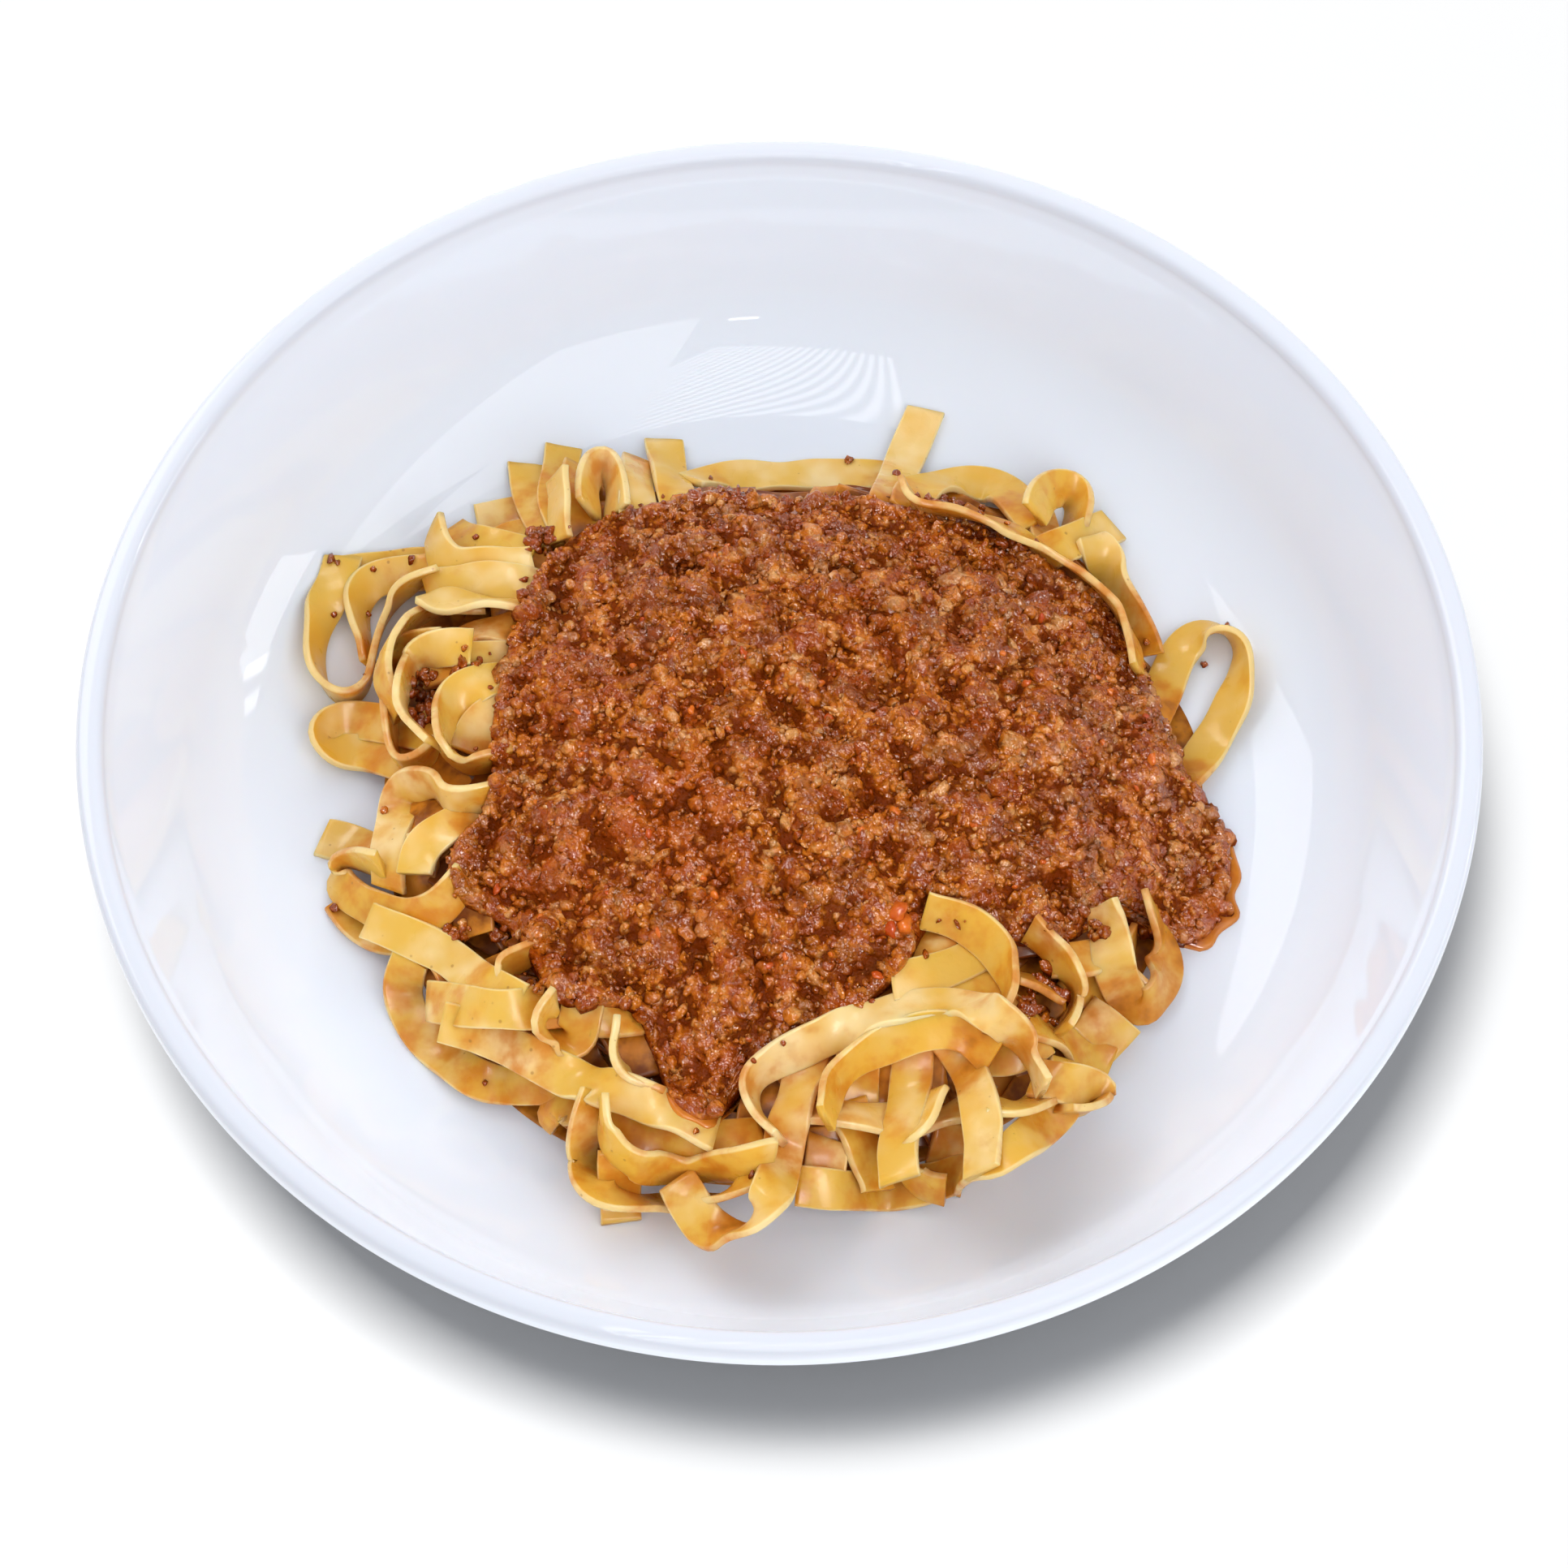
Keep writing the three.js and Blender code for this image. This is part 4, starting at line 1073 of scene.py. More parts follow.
@dataclass
class LaidStrand:
    """A strand's cross-sections: middle, side and face directions, half width and place along."""

    centre: Array
    side: Array
    face: Array
    half: Array
    along: Array
    tone: float
    soak: float


@dataclass(frozen=True)
class StrandKind:
    """The sizes of a strand of fettuccine and how it lies."""

    width: float = 7.5
    thickness: float = 1.4
    step: float = 0.9
    sink: float = 0.45
    stiffness: float = 2.4
    wobble: float = 4.0
    wobble_wave: float = 22.0
    ease: float = 1.5
    usual_width: Band = (0.95, 1.04)
    width_swing: float = 0.025
    width_wave: float = 16.0
    steepest: float = 0.6
    edge_rise: float = 0.8
    bridge: float = 1.6
    passes: int = 4
    ruffle: float = 0.18
    ruffle_wave: float = 13.0
    cup: float = 0.35
    slant: float = 0.9


@dataclass(frozen=True)
class FillerKind:
    """The seeded strands: how many are tried, where they may lie, and how they bend."""

    tries: int = 6000
    room: float = 1.6
    soak: float = 0.4
    corners: int = 5
    from_edge: Band = (5.0, 26.0)
    edge_margin: float = 5.0
    swerve: float = 0.8
    bend: float = 0.028
    length: Band = (20.0, 44.0)
    rolls: tuple[float, ...] = (0.0, 0.0, 10.0, -10.0)


@dataclass(frozen=True)
class CoreKind:
    """The inner heap's mesh: its grid, its low ridges and its marks."""

    sides: int = 220
    rings: int = 90
    span: Band = (0.004, 0.985)
    ridge_gap: float = 2.4
    ridge_height: float = 0.8
    foot: float = 0.1
    tone: float = 0.6
    # The inner heap gets the full mark: it shows only in gaps, painted dark as their shade.
    stain_and_shade: float = 1.0


@dataclass(frozen=True)
class StainAndShadeKind:
    """How strands are marked: darkened as painted shade by what lies over them, and tinted by the
    sauce beside them.
    """

    # Painted shade: how far under what covers it a strand lies, and how much that darkens it.
    cover_widened: float = 3.0
    cover_softened: float = 1.5
    buried_shade: Band = (1.5, 7.0)
    buried_shade_share: float = 0.6
    near_share: float = 0.24
    spread: float = 1.5


def spaced_route(route: Route, step: float) -> Array:
    """Points at even steps on a smooth curve through a route.

    Between b and c, with neighbours a and d, the curve is
    0.5 (2b + (c - a) t + (2a - 5b + 4c - d) t^2 + (3b - a - 3c + d) t^3).
    """
    drawn = np.array(route, dtype=float)
    ends = (2 * drawn[:1] - drawn[1:2], 2 * drawn[-1:] - drawn[-2:-1])
    line = np.vstack([ends[0], drawn, ends[1]])
    a, b, c, d = (line[k:len(line) - 3 + k, None, :] for k in range(4))
    t = np.linspace(0.0, 1.0, 24, endpoint=False)[None, :, None]
    curve = 0.5 * (2 * b + (c - a) * t + (2 * a - 5 * b + 4 * c - d) * t**2
                   + (3 * b - a - 3 * c + d) * t**3)
    curve = np.vstack([curve.reshape(-1, 3), drawn[-1:]])
    run = np.linalg.norm(np.diff(curve[:, :2], axis=0), axis=1)
    length = np.concatenate([[0.0], np.cumsum(run)])
    count = max(6, int(round(length[-1] / step)))
    wanted = np.linspace(0.0, length[-1], count + 1)
    return np.stack([np.interp(wanted, length, curve[:, k]) for k in range(3)], axis=1)


def relaxed(line: Array, spread: float) -> Array:
    """A line of points whose bends are eased by a running mean, with its two ends kept.

    What the mean moves an end by is taken off again, less and less along the line.
    """
    soft = np.stack([moving_mean(line[:, k], spread) for k in range(line.shape[1])], axis=1)
    place = np.arange(len(line))[:, None] / spread
    off_start, off_end = line[0] - soft[0], line[-1] - soft[-1]
    return soft + off_start * np.exp(-place) + off_end * np.exp(-place[::-1])


@dataclass
class Fettuccine:
    """All the pasta: an inner heap, filler strands that peep through, and the visible strands."""

    ground: LaidGround
    view: Viewpoint
    kind: StrandKind = StrandKind()
    filler: FillerKind = FillerKind()
    core: CoreKind = CoreKind()
    stain_and_shading: StainAndShadeKind = StainAndShadeKind()
    seed: int = 41
    hidden_end: float = 5.0
    finish: PastaFinish = field(default_factory=PastaFinish)
    laid: dict[str, list[LaidStrand]] = field(default_factory=dict)
    rng: np.random.Generator = field(init=False)
    whole: DrawnEdge = field(init=False)
    sauce: DrawnEdge = field(init=False)

    ACROSS = np.array([1.0, 1.0, 0.96, 0.88, 0.45, 0.0, -0.45, -0.88, -0.96, -1.0, -1.0, -0.96,
                       -0.88, -0.45, 0.0, 0.45, 0.88, 0.96])
    THROUGH = np.array([-0.5, 0.5, 0.94, 1.0, 1.0, 1.0, 1.0, 1.0, 0.94, 0.5, -0.5, -0.94, -1.0,
                        -1.0, -1.0, -1.0, -1.0, -0.94])

    def __post_init__(self) -> None:
        """Starts the repeatable source of numbers and the drawn edges."""
        self.rng = np.random.default_rng(self.seed)
        self.whole = DrawnEdge(np.array(PASTA_EDGE), (0.0, -8.0))
        self.sauce = DrawnEdge(np.array(SAUCE_EDGE), (8.0, -4.0))

    def shown_part(self, drawn: Array) -> Array:
        """A drawn route without its ends that lie deep under the sauce."""
        shown = self.sauce.inside(drawn[:, 0], drawn[:, 1]) < self.hidden_end
        kept = np.flatnonzero(shown)
        return drawn[kept[0]:kept[-1] + 1] if kept.size > 6 else drawn

    def lay(self, route: Route, soak: float = 0.0, trim: bool = True) -> LaidStrand:
        """Lays one route on the ground.

        Args:
            route: drawn points with their roll.
            soak: how much sauce has soaked the whole strand, from 0 to 1.
            trim: whether ends deep under the sauce are left off.

        Returns:
            The strand's cross-sections.
        """
        kind = self.kind
        drawn = relaxed(spaced_route(route, kind.step), kind.ease / kind.step)
        if trim:
            drawn = self.shown_part(drawn)
        count = len(drawn)
        place = np.linspace(0.0, (count - 1) * kind.step, count)
        swing = waves(place[:, None], kind.wobble_wave, self.rng, 4)
        roll = np.radians(drawn[:, 2] + kind.wobble * swing)
        usual = kind.width * self.rng.uniform(*kind.usual_width)
        swing = waves(place[:, None], kind.width_wave, self.rng, 4)
        half = 0.5 * usual * (1 + kind.width_swing * swing)
        level = self.ground.read(drawn[:, 0], drawn[:, 1])
        for _ in range(kind.passes):
            x, y = self.view.on_sight_line(drawn[:, 0], drawn[:, 1], level)
            centre = np.stack([x, y, level], axis=1)
            ahead = unit(np.gradient(centre, axis=0))
            right = unit(np.stack([ahead[:, 1], -ahead[:, 0], np.zeros(count)], axis=1))
            spread = half * np.abs(np.cos(roll))
            shares = np.linspace(-1.0, 1.0, 7)
            under = self.ground.read(
                x[:, None] + right[:, :1] * spread[:, None] * shares,
                y[:, None] + right[:, 1:2] * spread[:, None] * shares,
            )
            tilt = np.arctan2(under[:, 6] - under[:, 0], 2 * half) * np.cos(roll)
            tilt = moving_mean(np.clip(tilt, -kind.steepest, kind.steepest), kind.stiffness)
            rest = 0.5 * under[:, 1:6].max(axis=1) + 0.5 * under[:, 3]
            raised = half * np.abs(np.sin(roll)) * kind.edge_rise
            level = self.drape(rest + raised + kind.thickness / 2 - kind.sink)
        up = np.cross(right, ahead)
        turn = (roll + tilt)[:, None]
        side = right * np.cos(turn) + up * np.sin(turn)
        face = np.cross(side, ahead)
        return LaidStrand(centre, side, face, half, place, float(self.rng.uniform()), soak)

    def drape(self, lifted: Array) -> Array:
        """The strand's own level: it bridges narrow dips and bends over edges.

        It is the running peak of what it rests on, then a running mean, kept above the rest
        less a small sink.
        """
        kind = self.kind
        peak = moving_peak(lifted, int(round(kind.bridge / kind.step)))
        soft = moving_mean(peak, kind.stiffness / kind.step * 1.2)
        return moving_mean(np.maximum(soft, lifted - 2 * kind.sink), 0.9)

    def pile(self, strand: LaidStrand) -> None:
        """Raises the ground to the upper side of a strand that has been laid."""
        count = len(strand.centre)
        fine = np.linspace(0, count - 1, (count - 1) * 3 + 1)
        whole = np.minimum(fine.astype(int), count - 2)
        part = (fine - whole)[:, None]
        rows = [
            values[whole] * (1 - part) + values[whole + 1] * part
            for values in (strand.centre, strand.side * strand.half[:, None],
                           strand.face * self.kind.thickness / 2)
        ]
        shares = np.linspace(-1.0, 1.0, 21)[None, :, None]
        for through in (-1.0, 0.0, 1.0):
            self.ground.raise_to(
                rows[0][:, None] + rows[1][:, None] * shares + rows[2][:, None] * through
            )

    def lay_group(
        self, name: str, routes: list[Route], soak: float = 0.0, trim: bool = True,
    ) -> None:
        """Lays a group of routes in order, each one on top of what is there."""
        group = self.laid.setdefault(name, [])
        for route in routes:
            strand = self.lay(route, soak, trim)
            self.pile(strand)
            group.append(strand)

    def filler_route(self) -> Route | None:
        """A seeded route that runs round or across the heap, or None where it doesn't fit.

        It is an arc of a random bend from a random place, inside the pasta's edge, outside the
        sauce, and only where the heap isn't filled yet.
        """
        kind, rng = self.filler, self.rng
        angle = rng.uniform(-math.pi, math.pi)
        from_middle = float(self.whole.reach(angle)) - rng.uniform(*kind.from_edge)
        away = np.array([math.cos(angle), math.sin(angle)])
        start = np.array(self.whole.middle) + from_middle * away
        heading = angle + math.pi / 2 + rng.normal(0.0, kind.swerve)
        bend = rng.normal(0.0, kind.bend)
        length = rng.uniform(*kind.length)
        turned = heading + bend * np.linspace(-0.5, 0.5, kind.corners) * length
        stretch = kind.corners - 1
        x = start[0] + np.cumsum(np.cos(turned)) * length / stretch - np.cos(heading) * length / 2
        y = start[1] + np.cumsum(np.sin(turned)) * length / stretch - np.sin(heading) * length / 2
        outside = np.any(self.whole.inside(x, y) < kind.edge_margin)
        if outside or np.any(self.sauce.inside(x, y) > self.hidden_end):
            return None
        room = self.ground.heap.level(x, y, self.ground.bowl.floor_level) - self.ground.read(x, y)
        if room.mean() < kind.room:
            return None
        roll = float(rng.choice(kind.rolls))
        return [(float(a), float(b), roll) for a, b in zip(x, y)]

    def lay_fillers(self) -> None:
        """Lays seeded strands over the inner heap until the tries run out."""
        for _ in range(self.filler.tries):
            route = self.filler_route()
            if route is not None:
                self.lay_group("filler", [route], self.filler.soak, trim=False)

    def strand_surface(self, strand: LaidStrand, stain_and_shade: Array) -> Surface:
        """The rounded strip along a strand, with its two cut ends.

        A point is centre + side * half * across + face * thickness / 2 * through, with a slow
        ruffle of the edges and a slight cupping added along the face.

        Args:
            strand: the laid strand.
            stain_and_shade: how sauce-tinted it is, with painted shade, at each cross-section.

        Returns:
            A closed surface with marks for its tone, its sauce tint and painted shade, and its
            place across.
        """
        kind, count, ring = self.kind, len(strand.centre), len(self.ACROSS)
        swing = waves(strand.along[:, None], kind.ruffle_wave, self.rng, 4)
        ruffle = kind.ruffle * swing[:, None]
        cup = self.rng.uniform(-kind.cup, kind.cup)
        lean = self.rng.uniform(-kind.slant, kind.slant, size=2)
        across = self.ACROSS[None, :]
        offset = self.THROUGH[None, :] * kind.thickness / 2
        offset = offset + ruffle * across**3 + cup * (across**2 - 0.4)
        points = (
            strand.centre[:, None]
            + strand.side[:, None] * (strand.half[:, None] * across)[..., None]
            + strand.face[:, None] * offset[..., None]
        )
        ahead = unit(np.gradient(strand.centre, axis=0))
        for end, slant in ((0, lean[0]), (-1, lean[1])):
            points[end] += ahead[end] * slant * self.ACROSS[:, None]
        faces = grid_faces(count, ring)
        caps = np.stack([np.arange(ring), (count - 1) * ring + np.arange(ring)[::-1]])
        tone = np.full(count * ring, strand.tone)
        return Surface(
            points.reshape(-1, 3), [faces, caps],
            {"tone": tone, "stain_and_shade": np.repeat(stain_and_shade, ring),
             "across": np.tile(self.ACROSS, count)},
        )

    def core_surface(self) -> Surface:
        """The inner heap, just under the strands: its level with low ridges like strands.

        The ridges are the rounded sine of a swirl round the heap's middle. It carries the full
        mark of sauce tint and painted shade, so that it shows dark in the gaps as painted shade.
        """
        heap, bowl, kind = self.ground.heap, self.ground.bowl, self.core
        angle = np.linspace(0.0, 2 * math.pi, kind.sides, endpoint=False)
        share = np.linspace(*kind.span, kind.rings)[:, None]
        reach = heap.edge(np.arctan2(np.sin(angle), np.cos(angle)))[None] * share
        x = heap.centre[0] + reach * np.cos(angle)
        y = heap.centre[1] + reach * np.sin(angle)
        level = heap.level(x, y, bowl.floor_level) - heap.inner_drop
        ridge = np.abs(np.sin(reach / kind.ridge_gap + 3 * np.sin(2 * angle) + angle)) ** 0.5
        level = level + kind.ridge_height * ridge - kind.ridge_height
        level = np.maximum(level, bowl.floor_level + self.ground.gap)
        grid = np.stack([x, y, level], axis=-1)
        foot = grid[-1].copy()
        foot[:, 2] = bowl.floor_level + kind.foot
        under = np.array([*heap.centre, bowl.floor_level + kind.foot])
        points = np.vstack([grid.reshape(-1, 3), foot, grid[0].mean(axis=0), under])
        rows = kind.rings + 1
        marks = {name: np.full(len(points), value) for name, value in
                 (("tone", kind.tone), ("stain_and_shade", kind.stain_and_shade), ("across", 0.0))}
        return Surface(
            points, [closing_fans(rows, kind.sides), grid_faces(rows, kind.sides)], marks,
        )

    def build(self, sauce_near: Callable[[Array, Array], Array]) -> None:
        """Makes the strands and the inner heap and dresses them.

        A strand's mark is its soak, a share of painted shade for how deep it lies under what
        is over it, and a share for the sauce beside it.

        Args:
            sauce_near: gives how near places are to the sauce, from 0 to 1.
        """
        kind, material = self.stain_and_shading, self.finish.material()
        cover = self.ground.softened(kind.cover_softened, self.ground.widened(kind.cover_widened))
        for name, strands in self.laid.items():
            surfaces = []
            for strand in strands:
                x, y, z = strand.centre.T
                # Painted shade: strands under others are darkened by how far they lie below what
                # covers them.
                buried_shade = ease(self.ground.read(x, y, cover) - z, *kind.buried_shade)
                stain_and_shade = strand.soak + kind.buried_shade_share * buried_shade
                stain_and_shade = stain_and_shade + kind.near_share * sauce_near(x, y)
                surfaces.append(self.strand_surface(strand, moving_mean(stain_and_shade, kind.spread)))
            make_piece(f"fettuccine_{name}", joined(surfaces), Node.PASTA, material)
        make_piece("fettuccine_inner", self.core_surface(), Node.PASTA, material)


# ---- The sauce ----

# Redder, oilier places: x, y, radius and strength.
OILY_PLACES: list[tuple[float, float, float, float]] = [
    (-20, -14, 17, 0.8), (-6, -38, 12, 0.5), (-12, -60, 10, 0.7), (-42, -26, 9, 0.6),
    (-38, 12, 10, 0.4), (78, -22, 9, 0.6), (20, -36, 7, 0.6), (10, 20, 16, 0.25),
    (-66, 14, 6, 0.9), (-64, 33, 5, 0.7), (-44, -41, 5, 0.6), (27, -57, 5, 0.6),
]

# Clear bits of vegetable in the sauce: x, y and radius.
CLEAR_BITS: list[tuple[float, float, float]] = [
    (21.0, -34.2, 1.9), (22.4, -36.0, 1.5), (19.8, -37.4, 1.3), (-50.5, -24.8, 1.6),
]

# Small grains of mince that lie on the pasta and the bowl: x, y and radius.
LOOSE_GRAINS: list[tuple[float, float, float]] = [
    (-13, 66, 0.6), (13, 70, 1.0), (22, 67, 0.9), (26, 61.5, 0.8), (28, 61, 1.0), (31, 60.8, 0.9),
    (34, 60.3, 1.0), (38, 59.3, 0.8), (-84, 48, 0.8), (-82.8, 47.2, 0.6), (-76, 46, 0.65),
    (-69, 48, 0.6), (-83, 36, 0.6), (-76.5, 36, 0.65), (-57, 53, 0.6), (-76.5, 23, 0.5),
    (-72, -6, 0.9), (-80, -26, 0.6), (68, 30, 0.6), (83, 33.5, 0.5), (78.5, 25, 0.7),
    (-46.5, 54, 1.1), (-46, 52.5, 0.9), (-58.5, 28.5, 0.8), (-65.5, 18, 1.0), (-66, 13.5, 0.9),
    (-57, -29, 0.7), (-5, -75, 0.9), (-5, -79, 0.7), (-52, -61, 0.5),
]

# Places where sauce and mince lie in the gaps between strands: x, y and radius.
SAUCE_POCKETS: list[tuple[float, float, float]] = [
    (46, -44, 4.6), (43, -47, 2.6), (-65.5, 14, 3.2), (-66, 21, 2.6), (-64, 33, 2.6),
    (-58, 25, 2.6), (-44, 52, 3.0), (30, 58, 4.0), (40, 55, 3.0), (-50, -29, 2.6),
    (-44, -41, 2.6), (58, -30, 2.6), (-58, -30, 2.4),
]


@dataclass
class SauceOutline:
    """The sauce's edge round its middle, placed at its true level on what it covers."""

    ground: LaidGround
    view: Viewpoint
    middle: tuple[float, float] = (8.0, -4.0)
    edge_depth: float = 2.0
    soak_reach: float = 6.0
    level_spread: float = 2.0
    passes: int = 5
    placed: DrawnEdge = field(init=False)

    def __post_init__(self) -> None:
        """Places the drawn edge on the ground, at the sauce's own depth there."""
        drawn = [(x, y, 0.0) for x, y in [*SAUCE_EDGE, SAUCE_EDGE[0]]]
        line = spaced_route(drawn, 1.0)[:-1]
        x, y = self.ground.under_sight(
            self.view, line[:, 0], line[:, 1], self.passes,
            self.ground.softened(self.level_spread), self.edge_depth,
        )
        self.placed = DrawnEdge(np.stack([x, y], axis=-1), self.middle)

    def reach(self, angle: Array) -> Array:
        """How far the edge is from the middle at an angle."""
        return self.placed.reach(angle)

    def around(self, angle: Array, reach: Array) -> tuple[Array, Array]:
        """The x and y of places at an angle and a distance from the middle."""
        return self.middle[0] + reach * np.cos(angle), self.middle[1] + reach * np.sin(angle)

    def share(self, x: Array, y: Array) -> tuple[Array, Array]:
        """How far places are from the middle to the edge, and how many millimetres inside it."""
        inside = self.placed.inside(x, y)
        far = np.hypot(x - self.middle[0], y - self.middle[1])
        return far / (far + inside), inside

    def nearness(self, x: Array, y: Array) -> Array:
        """1 under the sauce's edge, and 0 a little outside it."""
        return ease(self.placed.inside(x, y), -self.soak_reach, 0.0)


def unit_ball(splits: int) -> tuple[Array, Array]:
    """A ball of triangles: twenty faces, each split in four as often as splits says.

    The first corners are the turns of (0, 1, golden), and each new corner is the middle of an
    edge, drawn out to the ball.
    """
    golden = (1 + math.sqrt(5)) / 2
    points = unit(np.array([
        (-1, golden, 0), (1, golden, 0), (-1, -golden, 0), (1, -golden, 0),
        (0, -1, golden), (0, 1, golden), (0, -1, -golden), (0, 1, -golden),
        (golden, 0, -1), (golden, 0, 1), (-golden, 0, -1), (-golden, 0, 1),
    ]))
    faces = np.array([
        (0, 11, 5), (0, 5, 1), (0, 1, 7), (0, 7, 10), (0, 10, 11), (1, 5, 9), (5, 11, 4),
        (11, 10, 2), (10, 7, 6), (7, 1, 8), (3, 9, 4), (3, 4, 2), (3, 2, 6), (3, 6, 8),
        (3, 8, 9), (4, 9, 5), (2, 4, 11), (6, 2, 10), (8, 6, 7), (9, 8, 1),
    ])
    for _ in range(splits):
        pairs = np.sort(faces[:, [[0, 1], [1, 2], [2, 0]]].reshape(-1, 2), axis=1)
        edges, which = np.unique(pairs, axis=0, return_inverse=True)
        middle = which.reshape(-1, 3) + len(points)
        points = np.vstack([points, unit(points[edges].sum(axis=1))])
        a, b, c = faces.T
        ab, bc, ca = middle.T
        faces = np.vstack([np.stack(t, axis=-1) for t in (
            (a, ab, ca), (b, bc, ab), (c, ca, bc), (ab, bc, ca))])
    return points, faces


@dataclass(frozen=True)
class GrainKind:
    """One size of mince: its spacing, radius and how deep it is set in the sauce."""

    name: str
    spacing: float
    radius: tuple[float, float]
    sunk: tuple[float, float]
    splits: int
    keep: float


@dataclass(frozen=True)
class LumpKind:
    """Round lumps of the bed: their spacing, radius, and height as a share of the radius."""

    spacing: float
    radius: tuple[float, float]
    height: tuple[float, float]


@dataclass(frozen=True)
class BedShape:
    """How the bed drapes: its depth and relief, and the spreads of the means that ease it."""

    depth: float = 6.0
    edge_round: float = 2.4
    swells: tuple[Band, ...] = ((19.0, 0.7), (9.0, 0.75))
    swell_ease: float = 8.0
    clump_ease: float = 6.0
    clump_spread: float = 0.7
    heap_drop: float = 1.0
    drape_spreads: Band = (3.0, 0.7)
    drape_gap: float = 0.2
    rest_spread: float = 0.8
    dip_spread: float = 1.2
    hollow_spreads: Band = (1.0, 4.0)
    underside: float = 2.2
    rim_height: float = 1.0
    first_ring: float = 0.004
    rings: int = 150
    sides: int = 620
    tone: Band = (0.45, 0.15)
    tone_size: float = 5.0
    # Painted shade in the bed's crevices: base, dip and hollow shares of its height mark.
    clear: tuple[float, float, float] = (0.52, 1.0, 0.25)


@dataclass(frozen=True)
class GrainShape:
    """How uneven a grain is, and how clear of the painted crevice shade its sides and its top are,
    its underside being shaded darker.
    """

    stretch: Band = (0.65, 1.25)
    longer: tuple[float, ...] = (1.0, 1.0, 1.35, 1.7)
    wave_rate: float = 2.5
    wave_height: float = 0.17
    # Shares of the painted shade mark: how far a grain stands, and its lighter top over its darker
    # underside.
    stand_share: float = 0.35
    top_share: float = 1.25
    clear_from: float = 0.45


@dataclass(frozen=True)
class ScatterKind:
    """How grains crowd in clumps, less in oil, and how their size and tone follow the clumps."""

    span: Band = (-90.0, 100.0)
    shake: float = 0.6
    from_edge: float = 0.4
    clump_size: float = 11.0
    less_in_oil: float = 0.45
    crowding: Band = (0.9, 0.25)
    larger: float = 0.14
    tone: Band = (0.5, 0.28)
    lighter: float = 0.16
    # Painted shade: how much dips and hollows darken the grains in them.
    dip_share: float = 0.8
    hollow_share: float = 0.35


@dataclass(frozen=True)
class LooseKind:
    """The loose grains: how many lie near the edge and how far off, and what fills the gaps."""

    count: int = 46
    spread: float = 1.6
    radius: Band = (0.3, 0.65)
    over_bowl: float = 3.0
    pocket_crowd: float = 1.0
    pocket_radius: Band = (0.45, 1.1)
    pocket_spread: float = 2.5
    pocket_lip: float = 0.2
    raised: float = 0.15
    tone: Band = (0.0, 0.6)
    # How clear of the painted crevice shade the loose grains stand.
    stand: float = 0.6


@dataclass(frozen=True)
class FilmShape:
    """The thin film: its grid, its thickness, and its spills as angle, width and size."""

    sides: int = 540
    rings: int = 12
    hidden_rings: int = 4
    hidden_by: float = 0.5
    uneven: float = 0.25
    uneven_turn: float = 70.0
    uneven_wave: float = 9.0
    start: float = 3.0
    held_back: float = 1.2
    thickness: float = 0.75
    under: float = 0.5
    spills: tuple[tuple[float, float, float], ...] = ((-0.25, 0.26, 3.4), (-1.85, 0.20, 2.6))


